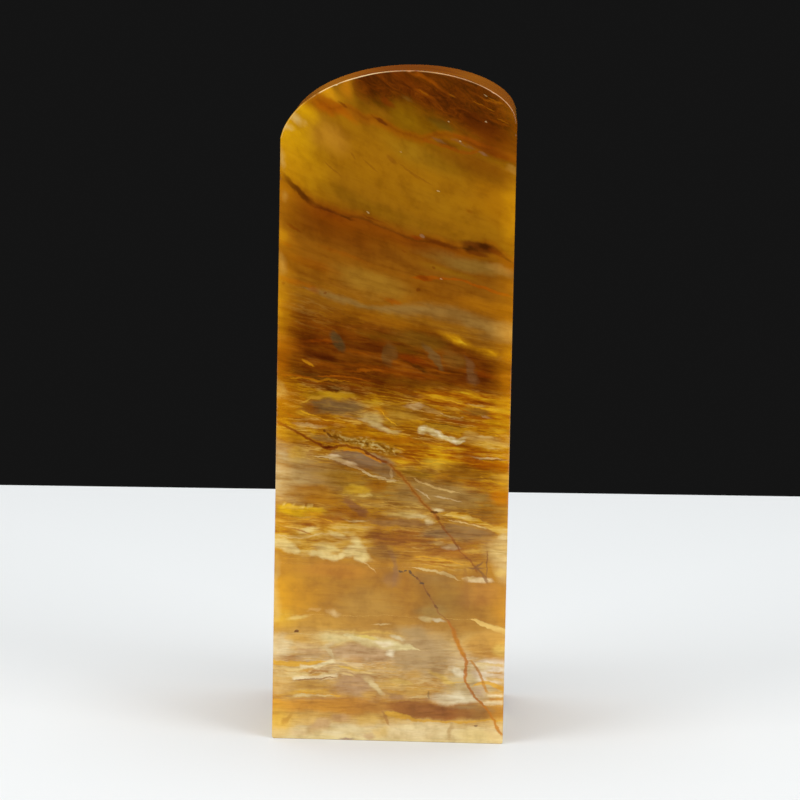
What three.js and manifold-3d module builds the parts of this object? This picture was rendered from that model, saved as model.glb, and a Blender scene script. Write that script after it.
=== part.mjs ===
// Seal stamp: one block of translucent amber soapstone. The sides are sawn square and polished, the
// crown is ground to an arch by hand, and the foot is the seal face, cut with a border and a rosette.
// Millimetres. X runs across the front, Y from front to back, Z up. The origin is the middle of the
// seal face, where the stone stands.

import * as THREE from 'three';
import { mergeVertices } from 'three/addons/utils/BufferGeometryUtils.js';
import Module from 'manifold-3d';

// The block.
const faceWidth = 25;
const faceDepth = 25;
const crownHeight = 72.3;
const edgeBevel = 0.25;

// The front end of the arch. A drop is measured down from the crown to the shoulder, a turn is the
// slope at which the arch leaves the side, a rise is how far it holds that slope, and a reach is how
// far it runs level beside the peak.
const frontPeakOffset = 1.2;
const frontLeftDrop = 7.4;
const frontLeftTurn = 78;
const frontLeftRise = 4.6;
const frontLeftReach = 6.1;
const frontRightDrop = 5.5;
const frontRightTurn = 88;
const frontRightRise = 3.2;
const frontRightReach = 5.5;

// The back end of the arch, which the grinding left fuller, above all on the left.
const backPeakOffset = 1.2;
const backLeftDrop = 5.5;
const backLeftTurn = 63;
const backLeftRise = 3.6;
const backLeftReach = 6.2;
const backRightDrop = 5.2;
const backRightTurn = 88;
const backRightRise = 3.1;
const backRightReach = 6;

// The seal face. The border is a groove all round, and the rosette is lens-shaped knife cuts round a
// dimple, with a dot in each corner. Every cut has sloping walls and the same depth.
const carveDepth = 0.9;
const wallRun = 0.2;
const rimWidth = 1.6;
const grooveWidth = 0.9;
const petalCount = 8;
const petalStart = 2.6;
const petalLength = 6.6;
const petalWidth = 3;
const dimpleRadius = 1.3;
const dotRadius = 0.9;
const dotClearance = 1;

// Steps of the curved stretches.
const archSteps = 44;
const loftSteps = 6;
const petalSteps = 12;
const roundSteps = 28;
const cutOvershoot = 0.5;

const wasm = await Module();
wasm.setup();

// One closed geometry through rings of points, all with the same count and the same turn, with a flat
// cap on the first and the last ring.
function loft(rings, flatten) {
  const count = rings[0].length;
  const positions = rings.flat().flatMap((point) => [point.x, point.y, point.z]);
  const faces = [];
  for (let ring = 0; ring + 1 < rings.length; ring += 1) {
    for (let i = 0; i < count; i += 1) {
      const next = (i + 1) % count;
      const a = ring * count + i;
      const b = ring * count + next;
      faces.push([a, b, b + count], [a, b + count, a + count]);
    }
  }
  const capOf = (ring) => THREE.ShapeUtils.triangulateShape(ring.map(flatten), []);
  const last = (rings.length - 1) * count;
  capOf(rings[0]).forEach(([a, b, c]) => faces.push([a, c, b]));
  capOf(rings.at(-1)).forEach(([a, b, c]) => faces.push([last + a, last + b, last + c]));
  const geometry = new THREE.BufferGeometry();
  geometry.setAttribute('position', new THREE.Float32BufferAttribute(positions, 3));
  geometry.setIndex(faces.flat());
  return geometry;
}

function toSolid(geometry) {
  const merged = mergeVertices(geometry);
  return new wasm.Manifold(new wasm.Mesh({
    numProp: 3,
    vertProperties: merged.attributes.position.array,
    triVerts: new Uint32Array(merged.index.array),
  }));
}

function toGeometry(solid) {
  const mesh = solid.getMesh();
  const geometry = new THREE.BufferGeometry();
  geometry.setAttribute('position', new THREE.BufferAttribute(mesh.vertProperties, 3));
  geometry.setIndex(new THREE.BufferAttribute(mesh.triVerts, 1));
  const faceted = geometry.toNonIndexed();
  faceted.computeVertexNormals();
  return faceted;
}

// A point at a slope in degrees above the level, at a distance from another.
function along(from, degrees, distance) {
  const angle = THREE.MathUtils.degToRad(degrees);
  return new THREE.Vector2(Math.cos(angle), Math.sin(angle)).multiplyScalar(distance).add(from);
}

// The arch from the right shoulder over the peak to the left shoulder.
function archPoints(end) {
  const leftShoulder = new THREE.Vector2(-faceWidth / 2, crownHeight - end.leftDrop);
  const rightShoulder = new THREE.Vector2(faceWidth / 2, crownHeight - end.rightDrop);
  const peak = new THREE.Vector2(end.peakOffset, crownHeight);
  const rightArch = new THREE.CubicBezierCurve(
    rightShoulder,
    along(rightShoulder, 180 - end.rightTurn, end.rightRise),
    along(peak, 0, end.rightReach),
    peak,
  );
  const leftArch = new THREE.CubicBezierCurve(
    peak,
    along(peak, 180, end.leftReach),
    along(leftShoulder, end.leftTurn, end.leftRise),
    leftShoulder,
  );
  return [...rightArch.getPoints(archSteps), ...leftArch.getPoints(archSteps).slice(1)];
}

// The whole front or back outline: the foot with its two bevels, then the arch.
function outline(end) {
  const side = faceWidth / 2;
  const foot = [
    new THREE.Vector2(-side, edgeBevel),
    new THREE.Vector2(-side + edgeBevel, 0),
    new THREE.Vector2(side - edgeBevel, 0),
    new THREE.Vector2(side, edgeBevel),
  ];
  return [...foot, ...archPoints(end)];
}

// The outline moved inwards by the same distance all round.
function insetOutline(points, distance) {
  return points.map((point, i) => {
    const before = points.at(i - 1);
    const after = points[(i + 1) % points.length];
    const into = point.clone().sub(before).normalize();
    const out = after.clone().sub(point).normalize();
    const inwardIn = new THREE.Vector2(-into.y, into.x);
    const inwardOut = new THREE.Vector2(-out.y, out.x);
    const mitre = inwardIn.clone().add(inwardOut);
    return mitre.multiplyScalar(distance / (1 + inwardIn.dot(inwardOut))).add(point);
  });
}

// The polished block: a loft from the front outline to the back one, with a narrow bevel round both.
function blockSolid() {
  const front = outline({
    peakOffset: frontPeakOffset,
    leftDrop: frontLeftDrop,
    leftTurn: frontLeftTurn,
    leftRise: frontLeftRise,
    leftReach: frontLeftReach,
    rightDrop: frontRightDrop,
    rightTurn: frontRightTurn,
    rightRise: frontRightRise,
    rightReach: frontRightReach,
  });
  const back = outline({
    peakOffset: backPeakOffset,
    leftDrop: backLeftDrop,
    leftTurn: backLeftTurn,
    leftRise: backLeftRise,
    leftReach: backLeftReach,
    rightDrop: backRightDrop,
    rightTurn: backRightTurn,
    rightRise: backRightRise,
    rightReach: backRightReach,
  });
  const standAt = (points, y) => points.map((point) => new THREE.Vector3(point.x, y, point.y));
  const bevelled = faceDepth / 2 - edgeBevel;
  const rings = [standAt(insetOutline(front, edgeBevel), -faceDepth / 2)];
  for (let step = 0; step <= loftSteps; step += 1) {
    const share = step / loftSteps;
    const section = front.map((point, i) => point.clone().lerp(back[i], share));
    rings.push(standAt(section, THREE.MathUtils.lerp(-bevelled, bevelled, share)));
  }
  rings.push(standAt(insetOutline(back, edgeBevel), faceDepth / 2));
  rings.reverse();
  return toSolid(loft(rings, (point) => new THREE.Vector2(point.x, point.z)));
}

// A cut with sloping walls: full size from below the seal face up to it, narrower at the cut's floor.
// The outline is a function of how far it is drawn in.
function cutSolid(outlineAt, drawnIn) {
  const level = (inset, z) => outlineAt(inset).map((point) => new THREE.Vector3(point.x, point.y, z));
  const rings = [level(0, -cutOvershoot), level(0, 0), level(drawnIn, carveDepth)];
  return toSolid(loft(rings, (point) => new THREE.Vector2(point.x, point.y)));
}

function rectanglePoints(halfWidth, halfDepth) {
  return [
    new THREE.Vector2(-halfWidth, -halfDepth),
    new THREE.Vector2(halfWidth, -halfDepth),
    new THREE.Vector2(halfWidth, halfDepth),
    new THREE.Vector2(-halfWidth, halfDepth),
  ];
}

function circlePoints(centre, radius) {
  return new THREE.EllipseCurve(centre.x, centre.y, radius, radius)
    .getPoints(roundSteps)
    .slice(0, -1);
}

// A lens between two points of one ray from the middle, drawn in at its tips as at its sides.
function lensPoints(start, length, width, angle) {
  const near = new THREE.Vector2(start, 0);
  const far = new THREE.Vector2(start + length, 0);
  const middle = start + length / 2;
  const sides = [-width, width].map((bulge, i) => new THREE.QuadraticBezierCurve(
    i ? far : near,
    new THREE.Vector2(middle, bulge),
    i ? near : far,
  ));
  const centre = new THREE.Vector2(0, 0);
  return sides
    .flatMap((curve) => curve.getPoints(petalSteps).slice(0, -1))
    .map((point) => point.rotateAround(centre, angle));
}

function borderCut() {
  const edgeOf = (size, margin) => size / 2 - margin;
  const outer = cutSolid((inset) => rectanglePoints(
    edgeOf(faceWidth, rimWidth + inset),
    edgeOf(faceDepth, rimWidth + inset),
  ), wallRun);
  const field = rimWidth + grooveWidth;
  const inner = cutSolid((inset) => rectanglePoints(
    edgeOf(faceWidth, field - inset),
    edgeOf(faceDepth, field - inset),
  ), wallRun);
  return outer.subtract(inner);
}

function rosetteCuts() {
  const cuts = [cutSolid((inset) => circlePoints(new THREE.Vector2(), dimpleRadius - inset), wallRun)];
  for (let petal = 0; petal < petalCount; petal += 1) {
    const angle = (petal / petalCount) * 2 * Math.PI;
    cuts.push(cutSolid((inset) => lensPoints(
      petalStart + inset,
      petalLength - 2 * inset,
      petalWidth - 2 * inset,
      angle,
    ), wallRun));
  }
  return cuts;
}

// A dot in each corner of the field inside the border.
function cornerCuts() {
  const margin = rimWidth + grooveWidth + dotClearance + dotRadius;
  return rectanglePoints(faceWidth / 2 - margin, faceDepth / 2 - margin)
    .map((corner) => cutSolid((inset) => circlePoints(corner, dotRadius - inset), wallRun));
}

const stoneMaterial = new THREE.MeshStandardMaterial({
  name: 'amber_stone',
  color: new THREE.Color('#c98a2b'),
  roughness: 0.28,
  metalness: 0,
});

function sealStone() {
  const cuts = [borderCut(), ...rosetteCuts(), ...cornerCuts()];
  const stone = cuts.reduce((solid, cut) => solid.subtract(cut), blockSolid());
  const mesh = new THREE.Mesh(toGeometry(stone), stoneMaterial);
  mesh.name = 'seal_stone';
  return mesh;
}

const sealStamp = new THREE.Group();
sealStamp.name = 'seal_stamp';
sealStamp.add(sealStone());

export default sealStamp;
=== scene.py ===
"""The look of the seal stamp: one polished block of amber soapstone with an arched crown.

The finely meshed stone stands for the CAD one and takes its outline and its cuts from it. Its colour is
painted by nodes in millimetres: x across the front, z up from the foot, and the layers run on through
the depth of the block.
"""

import math

import bmesh
import bpy
import numpy as np
from mathutils import Matrix, Vector, noise


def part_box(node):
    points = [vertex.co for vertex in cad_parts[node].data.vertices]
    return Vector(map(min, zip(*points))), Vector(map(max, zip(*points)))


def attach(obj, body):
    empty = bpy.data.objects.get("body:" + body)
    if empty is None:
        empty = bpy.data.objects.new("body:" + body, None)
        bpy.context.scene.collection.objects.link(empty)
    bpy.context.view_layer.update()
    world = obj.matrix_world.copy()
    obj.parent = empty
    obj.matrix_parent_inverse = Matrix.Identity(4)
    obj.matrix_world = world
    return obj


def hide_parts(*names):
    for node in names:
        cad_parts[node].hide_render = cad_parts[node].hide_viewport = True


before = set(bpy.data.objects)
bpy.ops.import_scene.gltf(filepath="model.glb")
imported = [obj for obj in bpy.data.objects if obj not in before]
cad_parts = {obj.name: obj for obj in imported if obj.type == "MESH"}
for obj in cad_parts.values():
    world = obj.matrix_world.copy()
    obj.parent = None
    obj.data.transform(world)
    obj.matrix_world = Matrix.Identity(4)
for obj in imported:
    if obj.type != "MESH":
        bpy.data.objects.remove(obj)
bpy.context.view_layer.update()

MM = 0.001

# The camera, fitted to the straight edges of the stone. Angles are in radians.
PHOTO_PIXELS = 800
FOCAL_PIXELS = 3200
SENSOR_MM = 36
CAMERA_AT_MM = (10.42, -351.06, 80.73)
CAMERA_PAN = -0.02873
CAMERA_PITCH = 0.12772
CAMERA_ROLL = 0.01928
CLIP_NEAR = 0.01
CLIP_FAR = 20

# The table, the lamps and the backdrop, in metres and watts. The table's far edge is the horizon.
FLOOR_CORNERS = [(-0.4, -0.15, 0), (0.4, -0.15, 0), (0.4, 0.186, 0), (-0.4, 0.138, 0)]
FLOOR_COLOUR = (0.835, 0.86, 0.87, 1)
FLOOR_SPECULAR = 0.1
LAMP_WATTS = 1.28
LAMP_TARGET = (0, 0, 0.035)
LAMPS = [("left_box", (-0.45, -0.35, 0.25), 0.35), ("right_box", (0.45, -0.35, 0.25), 0.35),
         ("top_box", (0, 0, 0.6), 0.4)]
WORLD_COLOUR = (1, 1, 1, 1)
WORLD_STRENGTH = 0.56
BACKDROP_COLOUR = (0.0072, 0.0072, 0.0072, 1)

# The stone's fine mesh, in millimetres.
RIM_RADIUS = 0.2
FOOT_RIM_RADIUS = 0.1
FOOT_RIM_TOP = 4
FOOT_CORNER = 0.25
WEAR_SCALE = 0.35
WEAR_SHARE = 0.25
NICK_SCALE = 1.9
NICK_START = 0.42
NICK_SHARE = 2.2
FRONT_SEED = 3
BACK_SEED = 11
RIM_STEPS = 4
SUPPORT = 0.5
FOOT_SUPPORT = 0.22
CURVE_STEPS = 8
ARCH_STEPS = 220
SIDE_STEPS = 240
FOOT_STEPS = 24
FOOT_FACE_STEPS = 12
DEPTH_STEPS = 36
SHARP_DEGREES = 32

# The space that the stone's colour is painted in, in millimetres.
HALF_DEPTH_MM = 12.5
LAYER_SLOPE = -0.0016
LAYER_BEND = 0.000138
DEPTH_NARROWING = 0.016
DEPTH_RISE = 0.1
WANDER = 0.5
PATCH_DEPTH = 12
COURSE_WIDTH = 26
COURSE_HEIGHT = 82
BAND_LIMIT = 4
OVAL_RIM = 1.25
TILT_STEP = 10
COURSE_REACH = 4

# How much brighter the painted colour gets at the end, in red, green and blue.
PAINT_GAIN = (1.11, 1.09, 1, 1)

# The stone's polish. The ripple's depth is in metres.
ROUGH_LEAST = 0.06
ROUGH_WAVES = 0.12
ROUGH_CROWN = 0.1
ROUGH_CUTS = 0.5
STONE_SPECULAR = 0.3
RIPPLE_DEPTH = 0.00002
RIPPLE_STRENGTH = 0.3

# The carving of the seal face lies in this square and below this height, in millimetres.
CUTS_REACH = 11.4
CUTS_TOP = 1.5


def add_object(name, data):
    """An object of the scene with that mesh, lamp or camera."""
    added = bpy.data.objects.new(name, data)
    bpy.context.scene.collection.objects.link(added)
    return added


def make_camera():
    """The camera at the photograph's angle."""
    data = bpy.data.cameras.new("camera")
    data.sensor_width = SENSOR_MM
    data.lens = FOCAL_PIXELS / PHOTO_PIXELS * SENSOR_MM
    data.clip_start = CLIP_NEAR
    data.clip_end = CLIP_FAR
    camera = add_object("camera", data)
    level = math.cos(CAMERA_PITCH)
    forward = Vector((math.sin(CAMERA_PAN) * level, math.cos(CAMERA_PAN) * level, -math.sin(CAMERA_PITCH)))
    right = Vector((math.cos(CAMERA_PAN), -math.sin(CAMERA_PAN), 0))
    up = right.cross(forward)
    tilt_cos, tilt_sin = math.cos(CAMERA_ROLL), math.sin(CAMERA_ROLL)
    rolled_right = tilt_cos * right + tilt_sin * up
    rolled_up = tilt_cos * up - tilt_sin * right
    turn = Matrix((rolled_right, rolled_up, -forward)).transposed().to_4x4()
    camera.matrix_world = Matrix.Translation(Vector(CAMERA_AT_MM) * MM) @ turn
    bpy.context.scene.camera = camera


def cad_ring(cad, depth):
    """The CAD stone's outline at a depth, as (x, z) in mm, counter-clockwise from the right foot corner."""
    corners = {(round(v.co.x / MM, 4), round(v.co.z / MM, 4))
               for v in cad.data.vertices if abs(v.co.y / MM - depth) < 0.001}
    points = np.array(sorted(corners))
    middle = (points.min(0) + points.max(0)) / 2
    angle = np.arctan2(points[:, 1] - middle[1], points[:, 0] - middle[0])
    points = points[np.argsort(angle)]
    right_foot = np.argmax(points[:, 0] - 100 * points[:, 1])
    return np.roll(points, -right_foot, axis=0)


def smooth_curve(points, count):
    """Points evenly spaced along a smooth curve through some points."""
    before = np.vstack([2 * points[0] - points[1], points, 2 * points[-1] - points[-2]])
    share = np.linspace(0, 1, CURVE_STEPS + 1)[:-1, None]
    pieces = []
    for p0, p1, p2, p3 in zip(before, before[1:], before[2:], before[3:]):
        pieces.append(0.5 * (2 * p1 + (p2 - p0) * share + (2 * p0 - 5 * p1 + 4 * p2 - p3) * share**2
                             + (3 * p1 - p0 - 3 * p2 + p3) * share**3))
    dense = np.vstack([*pieces, points[-1:]])
    run = np.concatenate([[0], np.cumsum(np.linalg.norm(np.diff(dense, axis=0), axis=1))])
    at = np.linspace(0, run[-1], count + 1)
    return np.column_stack([np.interp(at, run, dense[:, 0]), np.interp(at, run, dense[:, 1])])


def straight(start, end, count):
    """Evenly spaced points of a straight stretch, without its end."""
    share = np.linspace(0, 1, count + 1)[:-1, None]
    return start + (end - start) * share


def fine_outline(ring):
    """The whole outline with many points and with round foot corners, from a ring of the CAD stone."""
    right_foot, left_foot = ring[0], ring[-1]
    right_side, left_side = ring[1], ring[-2]
    arch = ring[2:-2]
    shoulders = (arch[0], arch[-1])
    corner = right_side[1]

    def rounded(centre, start_angle):
        angle = start_angle + np.linspace(0, math.pi / 2, RIM_STEPS + 1)[:-1]
        return np.column_stack([centre[0] + corner * np.cos(angle), centre[1] + corner * np.sin(angle)])

    return np.vstack([
        rounded((right_foot[0], corner), -math.pi / 2),
        straight(right_side, shoulders[0], SIDE_STEPS),
        smooth_curve(arch, ARCH_STEPS)[:-1],
        straight(shoulders[1], left_side, SIDE_STEPS),
        rounded((left_foot[0], corner), math.pi),
        straight(left_foot, right_foot, FOOT_STEPS),
    ])


def inset(points, distances):
    """The outline drawn in, each point by its own distance."""
    into = points - np.roll(points, 1, axis=0)
    out = np.roll(points, -1, axis=0) - points
    into /= np.linalg.norm(into, axis=1)[:, None]
    out /= np.linalg.norm(out, axis=1)[:, None]
    inward_in = np.column_stack([-into[:, 1], into[:, 0]])
    inward_out = np.column_stack([-out[:, 1], out[:, 0]])
    mitre = inward_in + inward_out
    reach = distances / (1 + (inward_in * inward_out).sum(1))
    return points + mitre * reach[:, None]


def from_foot(points, at_foot, above):
    """A value for each point of an outline that goes from the foot's to that of the rest."""
    share = np.clip((points[:, 1] - FOOT_CORNER) / (FOOT_RIM_TOP - FOOT_CORNER), 0, 1)
    return at_foot + (above - at_foot) * share


def rim_radii(points, seed):
    """The worn radius of a rim at each point of its outline, with a few small nicks."""
    radii = []
    for x, z in points:
        wear = noise.noise(Vector((x * WEAR_SCALE, z * WEAR_SCALE, seed)))
        nick = noise.noise(Vector((x * NICK_SCALE, z * NICK_SCALE, seed + 7)))
        radii.append(RIM_RADIUS * (1 + WEAR_SHARE * wear + NICK_SHARE * max(0, nick - NICK_START)))
    return from_foot(points, FOOT_RIM_RADIUS, np.array(radii))


def flat_faces(count):
    """The faces that fill an outline: level strips from side to side, and one face at the foot."""
    top = RIM_STEPS + SIDE_STEPS + ARCH_STEPS // 2
    strips = top - RIM_STEPS - FOOT_FACE_STEPS
    faces = [(top - 1, top, top + 1)]
    for step in range(1, strips):
        faces.append((top - step - 1, top - step, top + step, top + step + 1))
    lowest = [*range(top + strips, count), *range(top - strips + 1)]
    return [*faces, lowest]


def stone_mesh(cad):
    """The polished block with worn rims, without its cuts."""
    low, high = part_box(cad.name)
    half_depth = (high.y - low.y) / 2 / MM
    ring_depth = half_depth - FOOT_CORNER
    front = fine_outline(cad_ring(cad, -ring_depth))
    back = fine_outline(cad_ring(cad, ring_depth))
    front_radii, back_radii = rim_radii(front, FRONT_SEED), rim_radii(back, BACK_SEED)
    quarter = np.linspace(0, math.pi / 2, RIM_STEPS + 1)
    ones = np.ones(len(front))
    rings = [(front, from_foot(front, FOOT_SUPPORT, SUPPORT), -half_depth * ones)]
    for angle in quarter:
        rings.append((front, front_radii * (1 - math.sin(angle)),
                      -half_depth + front_radii * (1 - math.cos(angle))))
    inner = half_depth - RIM_RADIUS * 3
    for y in np.linspace(-inner, inner, DEPTH_STEPS + 1):
        share = (y + half_depth) / (2 * half_depth)
        rings.append((front + (back - front) * share, 0 * ones, y * ones))
    for angle in quarter[::-1]:
        rings.append((back, back_radii * (1 - math.sin(angle)),
                      half_depth - back_radii * (1 - math.cos(angle))))
    rings.append((back, from_foot(back, FOOT_SUPPORT, SUPPORT), half_depth * ones))
    vertices, faces, count = [], [], len(front)
    for outline, distances, depths in rings:
        drawn = inset(outline, distances)
        vertices += [(x * MM, y * MM, z * MM) for (x, z), y in zip(drawn, depths)]
    for ring in range(len(rings) - 1):
        for i in range(count):
            a, b = ring * count + i, ring * count + (i + 1) % count
            faces.append((a, a + count, b + count, b))
    last = (len(rings) - 1) * count
    for face in flat_faces(count):
        faces.append(tuple(face))
        faces.append(tuple(last + i for i in reversed(face)))
    mesh = bpy.data.meshes.new("stone")
    mesh.from_pydata(vertices, [], faces)
    mesh.validate()
    mesh.update()
    return mesh


def subtract(body, tool):
    """Takes one solid out of another and removes it."""
    modifier = body.modifiers.new("cut", "BOOLEAN")
    modifier.operation = "DIFFERENCE"
    modifier.solver = "EXACT"
    modifier.object = tool
    bpy.context.view_layer.update()
    graph = bpy.context.evaluated_depsgraph_get()
    body.data = bpy.data.meshes.new_from_object(body.evaluated_get(graph))
    body.modifiers.clear()
    bpy.data.objects.remove(tool)


def carve_foot(stone, cad):
    """Cuts the seal face as the CAD stone is cut, with a cutter that is the air below it."""
    cutter_mesh = bpy.data.meshes.new("cutter")
    shape = bmesh.new()
    bmesh.ops.create_cube(shape, size=1)
    reach, top = CUTS_REACH * MM, CUTS_TOP * MM
    for vertex in shape.verts:
        vertex.co = (vertex.co.x * 2 * reach, vertex.co.y * 2 * reach, top if vertex.co.z > 0 else -top)
    shape.to_mesh(cutter_mesh)
    shape.clear()
    shape.from_mesh(cad.data)
    bmesh.ops.remove_doubles(shape, verts=shape.verts, dist=0.001 * MM)
    carved_mesh = bpy.data.meshes.new("carved")
    shape.to_mesh(carved_mesh)
    shape.free()
    cutter = add_object("cutter", cutter_mesh)
    subtract(cutter, add_object("carved", carved_mesh))
    subtract(stone, cutter)


def make_stone(cad):
    """The carved stone, smooth but for its sharp edges."""
    stone = add_object("stone", stone_mesh(cad))
    carve_foot(stone, cad)
    for polygon in stone.data.polygons:
        polygon.use_smooth = True
    stone.data.set_sharp_from_angle(angle=math.radians(SHARP_DEGREES))
    return stone


def add_node(tree, kind, inputs, output=0, **settings):
    """A node with its settings and inputs. The result is one of its outputs."""
    node = tree.nodes.new(kind)
    for name, value in settings.items():
        setattr(node, name, value)
    for key, value in inputs.items():
        if isinstance(value, bpy.types.NodeSocket):
            tree.links.new(value, node.inputs[key])
        else:
            node.inputs[key].default_value = value
    return node.outputs[output]


def floor_material():
    """A matt pale table, which mirrors no lamp from any side."""
    material = bpy.data.materials.new("floor")
    material.use_nodes = True
    shader = material.node_tree.nodes["Principled BSDF"]
    shader.inputs["Base Color"].default_value = FLOOR_COLOUR
    shader.inputs["Roughness"].default_value = 1
    shader.inputs["Specular IOR Level"].default_value = FLOOR_SPECULAR
    return material


PALETTE = {
    "soot": "#4e2402",
    "dark_rust": "#602b03",
    "rust": "#6e3202",
    "red_brown": "#7a3501",
    "red_rust": "#863f01",
    "burnt_orange": "#984c02",
    "orange": "#a65c03",
    "amber": "#b5770a",
    "gold": "#c7920c",
    "yellow": "#d4a81e",
    "olive": "#7c5003",
    "grey_brown": "#73531f",
    "tan": "#b88d45",
    "sand": "#c8a456",
    "cream": "#d6be86",
    "ivory": "#e4d2a4",
    "purple_brown": "#5a1c00",
}

# The painted glow of light inside the stone along its upright corners.
EDGE_LIGHT = "#905800"


def linear(code, alpha=1):
    """A colour of the palette, or a #rrggbb one, as the shader takes it."""
    text = PALETTE.get(code, code)
    parts = [int(text[i:i + 2], 16) / 255 for i in (1, 3, 5)]
    return (*(p / 12.92 if p <= 0.04045 else ((p + 0.055) / 1.055) ** 2.4 for p in parts), alpha)


class Paint:
    """The stone's colour, built up by shader nodes as strokes over a layered ground.

    Strokes are placed by (x, z) on the front face in millimetres and drawn in the space of the stone's
    layers: u runs across, v is the height of the layer, and w grows with the streaks and with the depth
    behind the front, so that a patch is a ragged lens that ends inside the stone.
    """

    def __init__(self, tree, stamp):
        self.tree = tree
        self.stamp = stamp
        self.colour = None
        self.set_space()

    def add(self, kind, inputs, output=0, **settings):
        return add_node(self.tree, kind, inputs, output, **settings)

    def math(self, operation, *values):
        return self.add("ShaderNodeMath", dict(enumerate(values)), operation=operation)

    def times(self, first, second):
        return self.math("MULTIPLY", first, second)

    def off(self, value, middle):
        """How far a value is from a middle one."""
        return self.math("ABSOLUTE", self.math("SUBTRACT", value, middle))

    def vector(self, operation, *values):
        output = 1 if operation in ("LENGTH", "DOT_PRODUCT") else 0
        return self.add("ShaderNodeVectorMath", dict(enumerate(values)), output, operation=operation)

    def join(self, x, y, z):
        return self.add("ShaderNodeCombineXYZ", {0: x, 1: y, 2: z})

    def split(self, vector):
        node = self.add("ShaderNodeSeparateXYZ", {0: vector}).node
        return list(node.outputs)

    def noise(self, at, scale, detail=2, roughness=0.5, output=0, distortion=0):
        return self.add("ShaderNodeTexNoise", {"Vector": at, "Scale": scale, "Detail": detail,
                                               "Roughness": roughness, "Distortion": distortion}, output)

    def smooth(self, value, start, end, low=0, high=1):
        """A value that turns smoothly from low to high as another goes from start to end."""
        return self.add("ShaderNodeMapRange", {"Value": value, "From Min": start, "From Max": end,
                                               "To Min": low, "To Max": high},
                        interpolation_type="SMOOTHSTEP", clamp=False)

    def ramp(self, value, stops, output=0):
        """Colours over 0 to 1. A stop is a place, a colour and, unless it is all, how much it covers."""
        socket = self.add("ShaderNodeValToRGB", {0: value}, output)
        elements = socket.node.color_ramp.elements
        while len(elements) < len(stops):
            elements.new(0.5)
        for element, stop in zip(elements, stops):
            element.position = stop[0]
        for element, stop in zip(elements, stops):
            element.color = linear(*stop[1:])
        return socket

    def by_level(self, levels):
        """A value that changes with the height of the layer, by (level in mm, value)."""
        stops = [(level / COURSE_HEIGHT, "#ffffff", value) for level, value in levels]
        return self.ramp(self.times(self.soft_v, 1 / COURSE_HEIGHT), stops, "Alpha")

    def set_space(self):
        """The places that the strokes are drawn in, all in millimetres."""
        object_place = self.add("ShaderNodeTexCoord", {}, "Object")
        place = self.vector("MULTIPLY", object_place, (1 / MM, 1 / MM, 1 / MM))
        x, y, z = self.split(place)
        self.x, self.y, self.z = x, y, z
        self.depth = self.math("ADD", y, HALF_DEPTH_MM)
        wander = self.split(self.noise(place, 0.07, 1, output=1))
        wander_x = self.times(self.math("SUBTRACT", wander[0], 0.5), self.depth)
        wander_z = self.times(self.math("SUBTRACT", wander[1], 0.5), self.depth)
        narrowing = self.math("MULTIPLY_ADD", self.depth, -DEPTH_NARROWING, 1)
        u = self.math("MULTIPLY_ADD", wander_x, WANDER, self.times(x, narrowing))
        risen = self.math("MULTIPLY_ADD", self.depth, DEPTH_RISE, z)
        level = self.math("MULTIPLY_ADD", wander_z, WANDER, risen)
        slope = self.times(level, self.math("MULTIPLY_ADD", level, LAYER_BEND, LAYER_SLOPE))
        v = self.math("MULTIPLY_ADD", u, slope, level)

        self.u, self.v = u, v
        self.streaks = self.noise(self.grain(0.13, 0.8), 1, 3, 0.6)
        self.fibres = self.noise(self.grain(0.3, 2), 1, 3, 0.65)
        self.waves = self.noise(self.grain(0.15, 0.6), 1, 3, 0.6)
        self.broken = self.smooth(self.fibres, 0.36, 0.56, 0.15, 1)
        plain = self.join(u, v, 0)
        middle = (0.5, 0.5, 0.5)
        jitter = self.vector("SUBTRACT", self.noise(plain, 1.5, 2, 0.6, 1), middle)
        self.fine_space = self.vector("MULTIPLY_ADD", jitter, (0.5, 0.4, 0), plain)
        drift = self.vector("SUBTRACT", self.noise(plain, 0.3, 2, 0.6, 1), middle)
        bent = self.vector("MULTIPLY_ADD", drift, (2.5, 0.9, 0), self.fine_space)
        self.ragged = self.math("MULTIPLY_ADD", self.math("SUBTRACT", self.streaks, 0.32), 2,
                                self.times(self.depth, 1 / PATCH_DEPTH))
        self.soft_space = self.vector("ADD", bent, self.join(0, 0, self.ragged))
        self.fine_u = self.vector("DOT_PRODUCT", self.fine_space, (1, 0, 0))
        self.fine_v = self.vector("DOT_PRODUCT", self.fine_space, (0, 1, 0))
        self.soft_u = self.vector("DOT_PRODUCT", self.soft_space, (1, 0, 0))
        self.soft_v = self.vector("DOT_PRODUCT", self.soft_space, (0, 1, 0))
        self.fine_along = self.math("MULTIPLY_ADD", self.fine_u, 1 / COURSE_WIDTH, 0.5)
        self.soft_along = self.math("MULTIPLY_ADD", self.soft_u, 1 / COURSE_WIDTH, 0.5)

    def grain(self, across, upwards):
        """A place for noise drawn out along the layers, by its scales across and upwards."""
        return self.join(self.times(self.u, across), self.times(self.v, upwards),
                         self.times(self.depth, across))

    def lay(self, factor, colour, blend="MIX"):
        """Covers the colour so far with another, as far as the factor says."""
        paint = linear(colour) if isinstance(colour, str) else colour
        self.colour = self.add("ShaderNodeMix", {0: factor, 6: self.colour, 7: paint}, 2,
                               data_type="RGBA", blend_type=blend)

    def follow(self, along, places, values, low, high):
        """A value from 0 to 1 that runs smoothly through some values at some places."""
        socket = self.add("ShaderNodeFloatCurve", {"Value": along})
        mapping = socket.node.mapping
        points = mapping.curves[0].points
        while len(points) < len(places):
            points.new(0.5, 0.5)
        for point, place, value in zip(points, places, values):
            point.location = (place, (value - low) / (high - low))
            point.handle_type = "AUTO_CLAMPED"
        mapping.extend = "HORIZONTAL"
        mapping.update()
        return socket

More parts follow.
